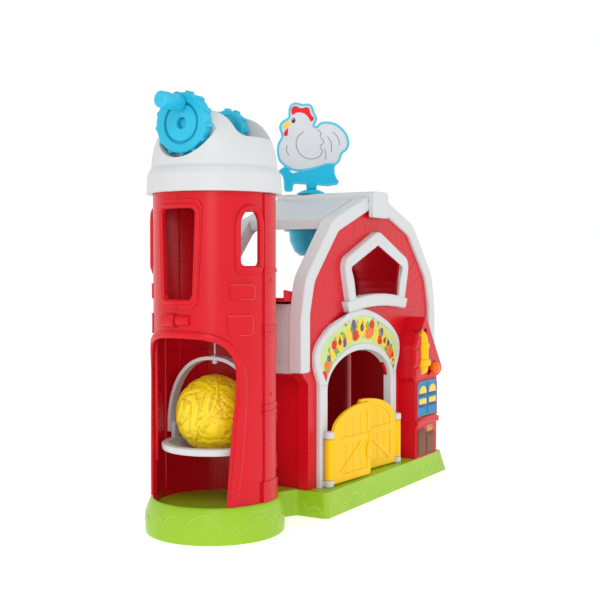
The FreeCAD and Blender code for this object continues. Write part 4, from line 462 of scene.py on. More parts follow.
FN = Vector((0, -1, 0.09))
LN = Vector((-1, 0, 0.09))
face_line(bf, front_pt, [(4.2, 5.0), (5.5, 9.5), (9.6, 13.6), (16.0, 13.8), (22.4, 10.4), (27.8, 4.2)], FN)
face_line(bf, front_pt, [(27.8, 4.4), (30.2, 7.4), (34.7, 8.4), (38.6, 5.0)], FN)
face_line(bf, front_pt, [(38.6, 5.2), (42.0, 10.0), (48.0, 13.6), (55.0, 14.0), (60.2, 11.6), (63.4, 7.4)], FN)
face_line(bf, front_pt, [(63.4, 7.4), (67.2, 9.8), (71.8, 9.2), (75.0, 5.4)], FN)
BLADES = [(79.0, 4.6, 82.0, 12.6), (83.0, 5.0, 87.9, 12.4), (88.4, 11.6, 92.4, 6.0), (92.4, 6.0, 96.4, 12.9), (98.0, 6.5, 99.2, 13.6), (101.5, 7.2, 106.8, 18.0),
          (107.2, 17.4, 111.6, 7.6), (111.6, 7.6, 115.0, 11.6), (118.0, 5.4, 121.4, 11.6), (122.4, 11.0, 126.0, 6.0), (126.0, 6.0, 132.8, 14.2), (133.8, 13.4, 138.6, 6.2),
          (138.6, 6.2, 142.0, 10.2), (146.0, 5.2, 150.4, 12.4), (151.0, 11.8, 154.8, 6.2), (154.8, 6.2, 160.2, 12.6), (161.0, 12.0, 165.4, 6.4), (171.0, 5.2, 176.4, 12.2),
          (177.2, 11.4, 181.6, 6.0), (181.6, 6.0, 187.2, 13.2), (188.0, 12.2, 192.8, 6.6), (196.6, 6.0, 201.8, 13.0), (202.6, 12.4, 206.6, 7.4), (212.0, 7.0, 218.4, 14.0),
          (219.2, 13.2, 224.0, 7.6), (228.4, 7.6, 234.2, 15.6), (235.0, 14.8, 240.6, 8.0), (244.0, 6.6, 249.6, 13.0), (250.4, 12.2, 254.6, 6.8)]
for x0, z0, x1, z1 in BLADES:
    up = z1 > z0
    mx = x0 + (x1 - x0) * (0.72 if up else 0.30)
    mz = (z0 + z1) / 2 + (0.4 if up else 0.8)
    face_line(bf, front_pt, [(x0, z0), (mx, mz), (x1, z1)], FN, w=0.00046, h=0.00038, per=5)


def left_pt(y, z):
    return B(2.0 * z / 22.7, y, z)


face_line(bf, left_pt, [(29.2, 12.8), (27.0, 12.6), (23.6, 11.0), (21.2, 5.6)], LN)
face_line(bf, left_pt, [(21.2, 5.6), (18.0, 9.0), (12.5, 9.4), (8.0, 7.0), (5.3, 3.6)], LN)
face_line(bf, left_pt, [(106.5, 12.8), (109.0, 12.4), (113.6, 10.4), (116.4, 5.2)], LN)


def rear_pt(x, z):
    return B(x, 130.0 - 2.0 * z / 22.7, z)


for x0, x1, top in ((8, 34, 14), (34, 52, 10), (52, 84, 15), (84, 104, 11), (104, 138, 15), (138, 158, 10), (158, 190, 14.5), (190, 212, 11), (212, 246, 15)):
    face_line(bf, rear_pt, [(x0, 5.6), (x0 + 0.18 * (x1 - x0), top - 3.0), ((x0 + x1) / 2, top), (x1 - 0.18 * (x1 - x0), top - 3.0), (x1, 5.6)], Vector((0, 1, 0.09)))
# painted highlight: the grass and hedge lines are coloured lighter green than the base
make("barn_base_grass_highlight_lines", bf, "green_light")

# ------------------------------------------------------------------ silo shell: inside ribs, ledges and small marks
sh = Mesh()
for az, z0, z1 in ((44, 30, 280), (57, 30, 280), (74, 60, 280), (96, 30, 280), (-44, 30, 280), (-60, 30, 280), (128, 60, 280)):
    line = [cyl_pt(az, z0 + (z1 - z0) * k / 40, RI) for k in range(41)]
    relief(sh, line, [-cyl_n(az)] * 41, 0.0010, 0.0012, taper=False, n=6)
for z, a0, a1 in ((236.0, 40.0, 60.0), (228.5, 60.0, 76.0), (150.0, 42.0, 98.0)):
    line = [cyl_pt(a0 + (a1 - a0) * k / 16, z, RI) for k in range(17)]
    relief(sh, line, [-cyl_n(a0 + (a1 - a0) * k / 16) for k in range(17)], 0.0009, 0.0012, n=6)
for az in (-84.4, 84.4):
    for z in (116.8, 211.2):
        line, nr = [], []
        for k in range(15):
            t = math.radians(-40 + 250.0 * k / 14)
            line.append(cyl_pt(az + math.degrees(1.7 * math.cos(t) / 53.3), z + 2.0 * math.sin(t), RO + 1.5))
            nr.append(cyl_n(az))
        relief(sh, line, nr, 0.00042, 0.00042)
make("silo_shell_inner_ribs", sh, "red")

# rounded rims of the door and the windows, bolt, and brick edges in a lighter red as a painted highlight
rims = Mesh()
brick_highlight = Mesh()


def dense(pts, step, closed=True):
    """Points added along the straight runs, none farther apart than step."""
    out = []
    n = len(pts)
    for i in range(n if closed else n - 1):
        a, b = Vector(pts[i]), Vector(pts[(i + 1) % n])
        m = max(1, int((b - a).length / step))
        out += [a.lerp(b, k / m) for k in range(m)]
    if not closed:
        out.append(Vector(pts[-1]))
    return out


def on_shell(mb, pts, az, r, w, h, closed=True, taper=False, n=10):
    pts = dense([(p[0], p[1]) for p in pts], 2.4, closed)
    relief(mb, [cyl_pt(az + p.x, p.y, r) for p in pts], [cyl_n(az + p.x) for p in pts], w, h, closed=closed, taper=taper, n=n)


TALL = round_poly([(-17.7, 194.6), (17.7, 194.6), (20.8, 272.4), (-20.8, 272.4)], 6.5, n=6)
on_shell(rims, TALL, 180, RO + 1.1, 0.0021, 0.0017)
head = [(12.8 * math.cos(t_) ** 0.9 if t_ < 1.57 else 0.0, 271.6 - 16.2 + 16.2 * math.sin(t_)) for t_ in [math.pi / 2 * k / 10 for k in range(11)]]
foot = [(12.8 - 4.6 + 4.6 * math.cos(t_), 221.8 + 4.6 + 4.6 * math.sin(t_)) for t_ in [-math.pi / 2 + math.pi / 2 * k / 5 for k in range(6)]]
half_ = foot + head
SIDE = half_ + [(-a_, z_) for a_, z_ in reversed(half_[:-1])]
for az in (-111, 111):
    on_shell(rims, SIDE, az, RO + 1.1, 0.0021, 0.0016)
D_IN = [(46.4, 28.0), (48.5, 57.0), (52.1, 94.0), (54.6, 113.0), (55.7, 127.0), (55.6, 138.0), (54.3, 145.0), (51.9, 150.6),
        (48.4, 156.0), (43.4, 160.7), (35.5, 163.9), (24.0, 165.6), (12.0, 166.0), (0.0, 166.1)]
D_OUT = [(56.5, 30.0), (60.3, 56.0), (63.2, 82.0), (65.1, 106.0), (66.0, 126.0), (65.3, 136.0), (63.2, 142.8), (59.8, 148.8),
         (55.2, 154.4), (48.8, 160.4), (39.0, 166.2), (26.5, 170.0), (13.0, 171.5), (0.0, 171.8)]
MID = [((a0 * 0.62 + a1 * 0.38), max(30.2, z0 * 0.62 + z1 * 0.38)) for (a0, z0), (a1, z1) in zip(D_IN, D_OUT)]
DOOR = [(p.x, p.y) for p in spline(V2(MID), 4)]
DOOR = DOOR + [(-a_, z_) for a_, z_ in reversed(DOOR[:-1])]
on_shell(rims, DOOR, 180, RO + 0.9, 0.0030, 0.0019, closed=False)
# bolt between the door and the tall window
on_shell(rims, [(-16.6, 179.8), (-1.6, 179.8)], 180, RO + 0.9, 0.0056, 0.0034, closed=False, taper=False, n=14)
on_shell(rims, [(-3.2, 174.6), (-3.2, 185.0)], 180, RO + 2.0, 0.0011, 0.0030, closed=False)
on_shell(rims, [(-0.6, 180.0), (12.2, 180.0)], 180, RO + 0.9, 0.0043, 0.0026, closed=False, taper=False, n=14)
# brick edges in a lighter red as a painted highlight, fading to the left
for az, z0, z1 in ((-119, 196.5, 209.0), (-121, 167.5, 184.0)):
    q_ = round_poly([(-13.6, z1 - 0.3), (12.3, z1 - 0.3), (12.3, z0 + 0.3), (-4.0, z0 + 0.3)], [0, 3.2, 3.2, 0])
    on_shell(brick_highlight, q_, az, RO + 1.1, 0.00055, 0.00055, closed=False, taper=True, n=8)
    q_ = round_poly([(12.6, z1 - 0.3), (-12.3, z1 - 0.3), (-12.3, z0 + 0.3), (4.0, z0 + 0.3)], [0, 3.2, 3.2, 0])
    on_shell(brick_highlight, q_, -az, RO + 1.1, 0.00055, 0.00055, closed=False, taper=True, n=8)
make("silo_shell_rims", rims, "red")
# painted highlight: the brick edge lines are coloured lighter red than the shell
make("silo_brick_edge_highlights", brick_highlight, "red_light")

# ------------------------------------------------------------------ red front: raised plank lines in a lighter red as a painted highlight
pl = Mesh()


def red_pt(x, z):
    return B(x, RF, z)


LINES = [((33.5, 216.4), (62.6, 193.6)), ((24.3, 224.8), (33.5, 216.4)), ((33.6, 185.1), (53.0, 187.4)), ((35.9, 213.0), (36.0, 189.6)), ((92.2, 266.1), (92.2, 257.2)),
         ((114.9, 265.4), (114.9, 257.6)), ((169.9, 267.2), (169.9, 257.8)), ((197.8, 256.0), (197.8, 240.0)), ((237.6, 234.6), (211.6, 216.0)),
         ((243.8, 214.1), (213.6, 196.6)), ((213.2, 184.5), (258.6, 179.2)), ((12.7, 182.5), (43.0, 186.6)), ((11.4, 166.4), (36.2, 172.4)), ((184.8, 175.1), (200.4, 173.6)),
         ((214.0, 172.4), (256.0, 168.8)), ((13.0, 151.0), (24.0, 153.4)), ((230.6, 148.0), (256.0, 145.4))]
for p0, p1 in LINES:
    a_, b_ = red_pt(*p0), red_pt(*p1)
    relief(pl, [a_.lerp(b_, k / 10) for k in range(11)], Vector((0, -1, 0)), 0.00042, 0.00042)
# painted highlight: the plank lines are coloured lighter red than the facade
make("facade_plank_highlight_lines", pl, "red_light")

# ------------------------------------------------------------------ house front
def house(u, w_, d):
    return B(u, HF - d, w_)


def pane(u, w_, d):
    return B(u, HF - 0.5 - d, w_)


row = Mesh()
for pts in ([(188.6, 120.6), (202.2, 120.6), (202.2, 136.8), (188.8, 136.8)], [(188.9, 138.4), (202.6, 138.4), (203.2, 150.6), (195.4, 150.6), (189.2, 141.0)]):
    slab(row, round_poly(pts, 1.6), house, -0.6, 1.3, bev=0.8)
slab(row, round_poly([(186.0, 106.6), (200.8, 106.6), (201.6, 118.2), (186.4, 118.0)], 4.6), house, -0.6, 2.2, bev=1.6)
cop = [house(202.2, 153.6, 0.1), house(204.2, 157.0, 0.3), house(214.6, 169.0, 0.1)]
relief(row, spline(cop, 6), Vector((0, -1, 0)), 0.0011, 0.0009)
# lintel line and frames
for pts, w_ in ((round_poly([(194.4, 64.6), (245.4, 64.6), (245.4, 104.4), (194.4, 104.4)], [1.5, 1.5, 8, 8]), 0.0010),
                (round_poly([(194.6, 23.6), (215.0, 23.6), (215.0, 53.4), (194.6, 53.4)], [0.5, 0.5, 3, 3]), 0.0007),
                (round_poly([(215.8, 23.6), (239.2, 23.6), (239.2, 47.6), (215.8, 47.6)], [0.5, 0.5, 3, 3]), 0.0007)):
    relief(row, [house(p.x, p.y, 0) for p in pts], Vector((0, -1, 0)), w_, 0.0006, closed=True)
make("house_shingles_and_trim", row, "red")

win = Mesh()
slab(win, round_poly([(219.7, 66.6), (221.3, 66.6), (221.3, 102.0), (219.7, 102.0)], 0.3), pane, -0.3, 0.35, bev=0.25)
for x0, x1 in ((198.6, 217.4), (223.4, 242.2)):
    slab(win, round_poly([(x0, 86.0), (x1, 86.0), (x1, 89.8), (x0, 89.8)], 0.8), pane, -0.3, 0.25, bev=0.2)
    slab(win, round_poly([(x0, 74.8), (x1, 74.8), (x1, 78.6), (x0, 78.6)], 0.8), pane, -0.3, 0.25, bev=0.2)
make("house_window_shadows", win, "blue_deep")
paint(NODES["house_window"], MAT["window_blue"])
rimw = Mesh()
relief(rimw, [pane(p.x, p.y, 0.0) for p in round_poly([(196.6, 67.0), (244.0, 67.0), (244.0, 101.9), (196.6, 101.9)], [1, 1, 6.2, 6.2])], Vector((0, -1, 0)), 0.0006, 0.0005, closed=True)
make("house_window_rim", rimw, "blue_grey")
pn = Mesh()
for x0, x1 in ((199.4, 216.8), (224.0, 241.4)):
    dome_ = [(x0, 89.8), (x1, 89.8)] + [((x0 + x1) / 2 + (x1 - x0) / 2 * math.cos(t_), 91.4 + 6.6 * math.sin(t_)) for t_ in [math.pi * k / 12 for k in range(13)]]
    slab(pn, V2(dome_), pane, -0.3, 0.55, bev=0.3)
    slab(pn, round_poly([(x0, 78.6), (x1, 78.6), (x1, 84.4), (x0, 84.4)], 1.0), pane, -0.3, 0.55, bev=0.3)
make("house_window_panes", pn, "pane_yellow")

dr = Mesh()
for x0, x1, z0, z1 in ((195.6, 214.2, 24.8, 52.6), (216.6, 238.2, 24.8, 46.8)):
    w3 = (x1 - x0 - 4.4) / 3
    for k in range(3):
        xa = x0 + 2.2 + w3 * k
        slab(dr, round_poly([(xa + 0.3, z0 + 1.6), (xa + w3 - 0.3, z0 + 1.6), (xa + w3 - 0.3, z1 - 2.4), (xa + 0.3, z1 - 2.4)], 0.6), pane, -0.3, 0.5, bev=0.25)
    for zz in (z0 + 6.0, z1 - 8.0):
        slab(dr, round_poly([(x0 + 2.4, zz), (x1 - 2.4, zz), (x1 - 2.4, zz + 2.2), (x0 + 2.4, zz + 2.2)], 0.5), pane, -0.3, 0.8, bev=0.3)
make("house_door_planks", dr, "brown_light")
pr = {"leaf_green": Mesh(), "orange": Mesh(), "fruit_red": Mesh()}
slab(pr["leaf_green"], round_poly([(220.6, 48.2), (234.0, 48.2), (234.0, 54.6), (220.6, 54.6)], 2.4), house, -0.3, 0.2, bev=0.15)
for cx_, cz_ in ((223.6, 51.6), (227.4, 50.2)):
    slab(pr["orange"], ellipse(cx_, cz_, 1.5, 1.5), house, 0.0, 0.4, bev=0.2)
for cx_, cz_ in ((231.2, 51.8), (229.4, 53.0)):
    slab(pr["fruit_red"], ellipse(cx_, cz_, 1.2, 1.2), house, 0.0, 0.4, bev=0.2)
for k, mb in pr.items():
    make("house_planter_" + k, mb, k)

# ------------------------------------------------------------------ printed panel over the garden arch: sunflowers, apples, plums and pumpkins
def gp(u, w_, d):
    return B(GM + u, GF + 0.5 - d, w_)


def polar(phi, k=0.0):
    """Point on the panel's middle line at phi degrees from the crown, k mm outwards."""
    c = math.radians(phi)
    x, z = 75.0 * math.sin(c), 106.5 + 56.2 * math.cos(c)
    nx, nz = math.sin(c) / 75.0, math.cos(c) / 56.2
    L_ = math.hypot(nx, nz)
    return x + nx / L_ * k, z + nz / L_ * k, math.degrees(math.atan2(nz, nx))


art = {k: Mesh() for k in ("print_light", "leaf_green", "leaf_dark", "sun_yellow", "orange", "fruit_red", "plum", "brown_light")}
for phi in range(-72, 76, 6):
    x0, z0, dirn = polar(phi, -1.0 if abs(phi) > 55 else -5.0)
    x1, z1, _ = polar(phi, 3.6 if abs(phi) > 55 else 9.0 * math.cos(math.radians(phi * 0.8)))
    relief(art["print_light"], [gp(x0, z0, 0).lerp(gp(x1, z1, 0), k / 6) for k in range(7)], Vector((0, -1, 0)), 0.00085, 0.00016)
for i, phi in enumerate(range(-76, 79, 3)):
    sc = 0.42 + 0.58 * math.cos(math.radians(phi)) ** 0.8
    x, z, dirn = polar(phi, (-8.8, -8.0, -4.6)[i % 3] * sc)
    slab(art["leaf_green" if i % 2 else "leaf_dark"], leaf(x, z, (16.5, 13.0, 12.4, 15.0)[i % 4] * sc, 6.8 * sc, dirn + (-20, 12, 24, -9, 3)[i % 5]), gp, -0.1, 0.16 + 0.02 * (i % 3), bev=0.08)


def sunflower(phi, k, r):
    x, z, dirn = polar(phi, k)
    for j in range(11):
        slab(art["sun_yellow"], leaf(x, z, r, r * 0.52, dirn + j * 360 / 11.0), gp, -0.1, 0.30 + 0.02 * (j % 2), bev=0.1, steps=2)
    slab(art["brown_light"], ellipse(x, z, r * 0.36, r * 0.36), gp, 0, 0.44, bev=0.12)


def apple(phi, k, r, mat="fruit_red"):
    x, z, dirn = polar(phi, k)
    slab(art[mat], ellipse(x - r * 0.28, z, r * 0.8, r), gp, -0.1, 0.30, bev=0.12)
    slab(art[mat], ellipse(x + r * 0.28, z, r * 0.8, r), gp, -0.1, 0.31, bev=0.12)
    slab(art["leaf_green"], leaf(x, z + r * 0.8, r * 1.1, r * 0.6, 50), gp, -0.1, 0.36, bev=0.1, steps=2)


def pumpkin(phi, k, r):
    x, z, dirn = polar(phi, k)
    for j, dx in enumerate((-0.62, 0.62, 0.0)):
        slab(art["orange"], ellipse(x + dx * r, z, r * 0.55, r * (0.78 + 0.1 * (j == 2))), gp, -0.1, 0.28 + 0.04 * j, bev=0.12)
    slab(art["leaf_dark"], leaf(x, z + r * 0.7, r * 0.9, r * 0.35, 82), gp, -0.1, 0.40, bev=0.1, steps=2)


def plum(phi, k, r):
    x, z, dirn = polar(phi, k)
    slab(art["plum"], ellipse(x, z, r * 0.72, r, dirn - 90), gp, -0.1, 0.32, bev=0.12)


def spline_pairs(pairs):
    return [(p.x, p.y) for p in spline(V2(pairs), 3, True)]


def pear(phi, k, r, lean):
    """Pear with its stalk end outwards."""
    x, z, dirn = polar(phi, k)
    c, s_ = math.cos(math.radians(dirn + lean)), math.sin(math.radians(dirn + lean))
    out = []
    for t_, w_ in ((-1.0, 0.0), (-0.92, 0.30), (-0.70, 0.52), (-0.36, 0.60), (0.0, 0.52), (0.34, 0.34), (0.66, 0.26), (0.90, 0.18), (1.0, 0.0)):
        out.append((t_ * r, w_ * r))
    out += [(a_, -b_) for a_, b_ in reversed(out[1:-1])]
    slab(art["sun_yellow"], [Vector((x + a_ * c - b_ * s_, z + a_ * s_ + b_ * c)) for a_, b_ in spline_pairs(out)], gp, -0.1, 0.34, bev=0.14)
    slab(art["leaf_dark"], leaf(x + r * 0.9 * c, z + r * 0.9 * s_, r * 0.5, r * 0.26, dirn + lean + 50), gp, -0.1, 0.36, bev=0.1, steps=2)


pear(-20, 0.6, 9.6, 8)
pear(26, 0.4, 9.2, -10)
pear(-50, 0.2, 6.8, 6)
sunflower(1, 1.6, 10.6)
sunflower(-35, 0.6, 8.8)
sunflower(42, 0.6, 8.2)
sunflower(68, 0.2, 4.8)
pumpkin(13, -3.4, 6.6)
pumpkin(-62, 0.0, 5.2)
pumpkin(56, -0.6, 5.6)
apple(-9.5, -4.4, 5.4)
apple(34, -3.4, 4.6)
apple(-43, 4.2, 4.4)
apple(-71.5, 0.4, 4.2)
apple(62.5, 1.6, 3.6)
apple(17, 6.0, 4.6)
plum(-11, 6.2, 5.2)
plum(-28, -4.4, 4.6)
plum(34, 5.0, 4.6)
plum(49, 3.2, 3.8)
plum(-56, 2.0, 3.6)
plum(75, 0.0, 2.6)
for k, mb in art.items():
    make("arch_panel_" + k, mb, k)

# ------------------------------------------------------------------ weathervane
VA = math.radians(-59.9)
RZ = 297.0
RB = RZ + 8.4


def vane(u, y, z):
    return B(131.0 + u * math.cos(VA) - y * math.sin(VA), 92.4 + u * math.sin(VA) + y * math.cos(VA), z)


def v_front(half):
    return lambda u, w_, d: vane(u, -half - d, w_)


def v_back(half):
    return lambda u, w_, d: vane(u, half + d, w_)


NF = (vane(0, -1, 0) - vane(0, 0, 0)).normalized()
rooster = [(-27.2, 28.6), (-30.7, 31.6), (-33.8, 35.4), (-35.3, 41.5), (-35.5, 47.6), (-34.0, 53.7), (-31.6, 57.5), (-31.3, 61.0), (-32.2, 64.4),
           (-33.2, 67.8), (-32.6, 71.5), (-30.2, 74.9), (-26.6, 77.1), (-23.9, 79.3), (-23.7, 83.2), (-23.4, 87.3), (-22.0, 90.9), (-19.5, 93.2),
           (-15.9, 94.2), (-12.3, 93.4), (-9.0, 92.4), (-5.6, 92.9), (-2.1, 92.6), (1.0, 90.1), (2.5, 86.2), (3.6, 83.0), (5.2, 80.3), (5.9, 77.1),
           (4.8, 73.8), (3.3, 71.2), (4.0, 69.7), (6.0, 71.0), (9.2, 73.6), (13.8, 74.6), (19.9, 74.2), (26.1, 72.0), (31.2, 68.1), (35.8, 62.8),
           (38.3, 56.7), (38.7, 50.6), (36.8, 46.0), (33.4, 43.1), (31.2, 40.6), (30.2, 36.8), (28.1, 32.9), (24.1, 29.8), (15.9, 28.4), (6.7, 26.6),
           (-3.6, 24.6), (-11.8, 23.8), (-20.0, 24.7)]
RP = [p + Vector((0, RZ)) for p in spline(V2(rooster), 4, True)]
board = Mesh()
slab(board, RP, lambda u, w_, d: vane(u, -d, w_), 0.0, 1.6, bev=0.5)
slab(board, RP, lambda u, w_, d: vane(u, d, w_), 0.0, 1.6, bev=0.5)
face = {k: Mesh() for k in ("rooster_white", "fruit_red", "sun_yellow", "ink", "line_grey")}
IN1 = inset(RP, 1.15)
for F, nr in ((v_front(1.6), NF), (v_back(1.6), -NF)):
    relief(board, [F(p.x, p.y, 0) for p in IN1], nr, 0.00115, 0.00085, closed=True)
    IN2 = inset(RP, 2.1)
    slab(face["rooster_white"], IN2, F, -0.2, 0.16, bev=0.08, steps=2)
    comb = [(-19.6, 81.4), (-20.6, 85.8), (-19.2, 89.2), (-15.9, 90.4), (-12.0, 88.4), (-8.7, 88.2), (-5.1, 89.2), (-2.5, 87.8), (-1.3, 84.2), (-0.2, 81.0), (2.2, 78.5), (1.8, 75.9), (-0.6, 74.6), (-3.1, 78.6), (-6.7, 82.3), (-11.8, 83.8), (-15.9, 83.3)]
    slab(face["fruit_red"], [p + Vector((0, RZ)) for p in spline(V2(comb), 4, True)], F, -0.1, 0.42, bev=0.2)
    beak = [(-29.6, 69.4), (-27.1, 73.0), (-22.6, 74.0), (-20.2, 72.6), (-23.2, 70.0), (-26.5, 68.4), (-29.0, 68.2)]
    slab(face["sun_yellow"], [p + Vector((0, RZ)) for p in spline(V2(beak), 4, True)], F, -0.1, 0.42, bev=0.2)
    wat = [(-24.2, 67.6), (-26.2, 66.0), (-28.6, 61.9), (-26.7, 59.6), (-24.3, 61.2)]
    slab(face["fruit_red"], [p + Vector((0, RZ)) for p in spline(V2(wat), 4, True)], F, -0.1, 0.42, bev=0.2)
    slab(face["ink"], [p + Vector((0, RZ)) for p in ellipse(-18.5, 75.5, 2.0, 2.7)], F, -0.1, 0.40, bev=0.15)
    slab(face["rooster_white"], [p + Vector((0, RZ)) for p in ellipse(-19.0, 76.6, 0.6, 0.8, n=10)], F, 0.2, 0.48, bev=0.05, steps=2)
    for pts in ([(-7.6, 64.6), (-14.2, 58.6), (-15.6, 49.6), (-11.4, 41.2), (-2.8, 36.6), (6.4, 37.8), (11.0, 43.4), (8.4, 49.2)], [(8.4, 49.2), (12.6, 53.6), (8.6, 59.0)], [(8.6, 59.0), (9.8, 63.2), (5.6, 66.2)],
                [(16.2, 59.8), (20.4, 51.8), (20.2, 43.0)], [(21.6, 64.4), (27.2, 57.8), (28.8, 49.8)], [(13.2, 47.0), (14.8, 41.0), (13.8, 35.2)], [(-24.8, 50.4), (-25.6, 44.8), (-23.0, 39.8)]):
        relief(face["line_grey"], [F(p.x, p.y + RZ, 0.16) for p in spline(V2(pts), 6)], nr, 0.00038, 0.00022)
ob = make("rooster_board_body", board, "blue_light", body="vane")
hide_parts("rooster_board")
for k, mb in face.items():
    make("rooster_" + k, mb, k, body="vane")
arrow = [(-34.3, 320.7), (-28.7, 325.3), (-22.8, 325.7), (-21.4, 320.8), (-19.5, 319.2), (-11.8, 320.6), (-1.5, 323.1), (8.7, 326.7), (15.8, 328.9),
         (25.0, 328.8), (23.6, 324.0), (23.8, 318.9), (25.6, 313.8), (28.4, 310.2), (26.4, 307.2), (16.9, 305.7), (-1.5, 307.2), (-18.6, 308.2),
         (-19.2, 300.2), (-28.0, 300.2), (-28.6, 311.8), (-30.0, 316.4)]
AP = round_poly(arrow, [1, 1.5, 1.5, 2, 1.2, 6, 10, 10, 3, 1.2, 6, 6, 6, 1.8, 1.8, 6, 8, 2.4, 2.6, 2.6, 5, 3])
rim = Mesh()
for F, nr in ((v_front(2.8), NF), (v_back(2.8), -NF)):
    relief(rim, [F(p.x, p.y, 0) for p in inset(AP, 0.9)], nr, 0.0008, 0.0006, closed=True)
make("arrow_board_rim", rim, "blue_light", body="vane")
paint(NODES["vane_arrow"], MAT["vane_blue"])

# ------------------------------------------------------------------ hay ball: bundles of straw pressed into the shell
import random
rnd = random.Random(11)
bm = bmesh.new()
bmesh.ops.create_icosphere(bm, subdivisions=6, radius=1.0)
bands = []
for k in range(15):
    v = Vector((rnd.gauss(0, 1), rnd.gauss(0, 1), rnd.gauss(0, 1))).normalized()
    bands.append((v, rnd.uniform(0.035, 0.085), rnd.uniform(0, 60), rnd.uniform(-0.8, 0.8), rnd.uniform(0.0, 0.35)))
lo_hi = []
BC = S(0, 0, 98.1)
DEEP = 2.3
for v in bm.verts:
    n_ = v.co.normalized()
    warp = Vector((noise.noise(n_ * 1.9 + Vector((3.1, 0, 0))), noise.noise(n_ * 1.9 + Vector((0, 5.7, 0))), noise.noise(n_ * 1.9 + Vector((0, 0, 8.3)))))
    q_ = n_ + warp * 0.34
    # short bundles, longer than wide, with a crease between neighbours
    dist, _ = noise.voronoi(Vector((q_.x * 2.3, q_.y * 2.9 + q_.x * 1.1, q_.z * 6.4 + q_.x * 2.2)))
    gap = dist[1] - dist[0]
    h = -1.75 + 1.15 * min(1.0, gap / 0.30) ** 0.55
    # single straws on each bundle
    h += 0.22 * math.sin(24.0 * (q_.z * 1.7 + q_.y * 0.5) + 5.0 * noise.noise(n_ * 2.7))
    wob = noise.noise(n_ * 2.6 + Vector((7.1, 3.3, 1.7))) * 0.09
    for p_, w_, ph, off, low in bands:
        s_ = n_.dot(p_) - off + wob
        m_ = noise.noise(n_ * 1.5 + Vector((ph, 0, 0)))
        if m_ > -0.10 and abs(s_) < w_ * 1.5:
            u_ = abs(s_) / w_
            if u_ < 1.0:
                h = max(h, -0.15 - low - 0.55 * u_ ** 4 - 0.12 * (1 + math.sin(s_ / w_ * 7.0 + ph)))
            else:
                h = min(h, -0.8 - 1.2 * (1 - (u_ - 1.0) / 0.5))
    h += 0.05 * noise.noise(n_ * 16.0)
    if abs(n_.z) < 0.012:
        h -= 0.4
    h = max(-DEEP, min(0.0, h))
    lo_hi.append(h)
    v.co = BC + n_ * (34.0 + h) * 0.001
me = bpy.data.meshes.new("hay_ball")
bm.to_mesh(me)
bm.free()
for p in me.polygons:
    p.use_smooth = True
attr = me.attributes.new("height", "FLOAT", "POINT")
for i, h in enumerate(lo_hi):
    attr.data[i].value = (h + DEEP) / DEEP
hay = bpy.data.objects.new("hay_ball_straw", me)
bpy.context.scene.collection.objects.link(hay)
paint(hay, MAT["hay"])
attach(hay, "ball")
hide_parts("hay_ball_upper", "hay_ball_lower")

# ------------------------------------------------------------------ hoist: twisted cord, coils on the drum, lead to the guide eye
def twisted(mb, p0, p1, r, pitch, n_per=10, strands=3):
    ax = (p1 - p0)
    L_ = ax.length
    ax.normalize()
    u = Vector((1, 0, 0)) if abs(ax.x) < 0.8 else Vector((0, 1, 0))
    u = (u - ax * u.dot(ax)).normalized()
    w_ = ax.cross(u)
    m = max(8, int(L_ / pitch * n_per))
    for s_ in range(strands):
        pts = []
        for k in range(m + 1):
            a_ = 2 * math.pi * (k / n_per + s_ / strands)
            pts.append(p0 + ax * (L_ * k / m) + (u * math.cos(a_) + w_ * math.sin(a_)) * r * 0.52)
        tube(mb, pts, r * 0.50, n=6)


fall = Mesh()
twisted(fall, S(0, 0, 320.9), S(0, 0, 147.8), 0.0009, 0.0042)
fo = make("hoist_cord_fall", fall, "cord", body=None)
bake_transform(fo)
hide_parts("hoist_cord")
lead = Mesh()
twisted(lead, S(0, 0, 320.9), S(0, 8.8, 338.9), 0.00085, 0.0042)
make("hoist_cord_lead", lead, "cord")
coil = Mesh()
pts = []
for k in range(6 * 36 + 1):
    a_ = 2 * math.pi * k / 36
    pts.append(S(-4.5 + 9.0 * k / (6 * 36), 8.95 * math.cos(a_), 339.4 + 8.95 * math.sin(a_)))
tube(coil, pts, 0.00084, n=8)
co_ = make("cord_coils", coil, "cord", body="crank")
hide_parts("cord_winding")

# ------------------------------------------------------------------ stage, light, camera
def quad(name, pts):
    me = bpy.data.meshes.new(name)
    me.from_pydata([tuple(p) for p in pts], [], [tuple(range(len(pts)))])
    ob = bpy.data.objects.new(name, me)
    bpy.context.scene.collection.objects.link(ob)
    return ob


floor = quad("floor", [(-6, -6, -0.0002), (6, -6, -0.0002), (6, 6, -0.0002), (-6, 6, -0.0002)])
fm = bpy.data.materials.new("floor_white")
fm.use_nodes = True
fp = fm.node_tree.nodes["Principled BSDF"]
fp.inputs["Base Color"].default_value = (0.88, 0.88, 0.88, 1)
fp.inputs["Roughness"].default_value = 0.8
fp.inputs["Specular IOR Level"].default_value = 0.0
fp.inputs["Emission Color"].default_value = (1, 1, 1, 1)
fp.inputs["Emission Strength"].default_value = 0.47
paint(floor, fm)

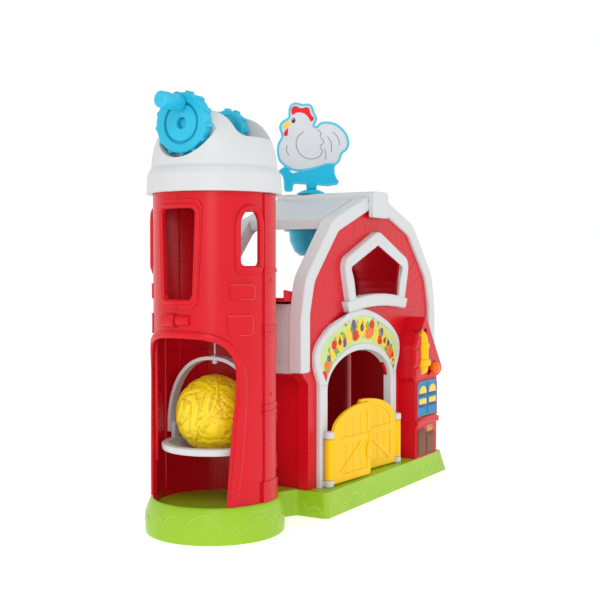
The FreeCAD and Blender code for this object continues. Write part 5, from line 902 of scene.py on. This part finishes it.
world = bpy.data.worlds.new("studio")
bpy.context.scene.world = world
world.use_nodes = True
wn = world.node_tree
bg = wn.nodes["Background"]
bg.inputs[1].default_value = 1.0
wt = wn.nodes.new("ShaderNodeTexCoord")
wx = wn.nodes.new("ShaderNodeSeparateXYZ")
wr = wn.nodes.new("ShaderNodeValToRGB")
wn.links.new(wt.outputs["Generated"], wx.inputs[0])
wn.links.new(wx.outputs["Z"], wr.inputs["Fac"])
wr.color_ramp.elements[0].position = 0.30
wr.color_ramp.elements[0].color = (1.02, 1.02, 1.02, 1)
wr.color_ramp.elements[1].position = 0.62
wr.color_ramp.elements[1].color = (0.50, 0.50, 0.51, 1)
wn.links.new(wr.outputs["Color"], bg.inputs[0])


def area(name, loc, target, size, power, color=(1, 1, 1), size_y=None):
    l = bpy.data.lights.new(name, "AREA")
    l.shape = "RECTANGLE"
    l.size = size
    l.size_y = size_y or size
    l.energy = power
    l.color = color
    o = bpy.data.objects.new(name, l)
    bpy.context.scene.collection.objects.link(o)
    o.location = loc
    d = Vector(target) - Vector(loc)
    o.rotation_euler = d.to_track_quat("-Z", "Y").to_euler()
    return o


area("key", (-1.5, -0.9, 1.5), (0, 0, 0.16), 0.7, 7.6)
area("top", (0.1, 0.1, 1.9), (0, 0, 0.1), 1.4, 4.6)
area("fill", (0.9, -1.8, 0.8), (0, 0, 0.2), 1.2, 2.4)
area("near", (-1.25, -0.62, 0.34), (-0.1, 0, 0.16), 0.35, 1.3)

cam = bpy.data.cameras.new("camera")
cam.sensor_width = 36.0
cam.lens = 63.0
cam.clip_start = 0.01
co = bpy.data.objects.new("camera", cam)
bpy.context.scene.collection.objects.link(co)
co.location = B(-803.8, -450.2, 224.0)
al = math.radians(30.757)
pt = math.radians(1.863)
fwd = Vector((math.cos(al) * math.cos(pt), math.sin(al) * math.cos(pt), -math.sin(pt)))
co.rotation_euler = fwd.to_track_quat("-Z", "Y").to_euler()
bpy.context.scene.camera = co
bpy.context.scene.view_settings.view_transform = "Standard"
bpy.context.scene.view_settings.look = "None"
bpy.context.scene.view_settings.exposure = 0.0
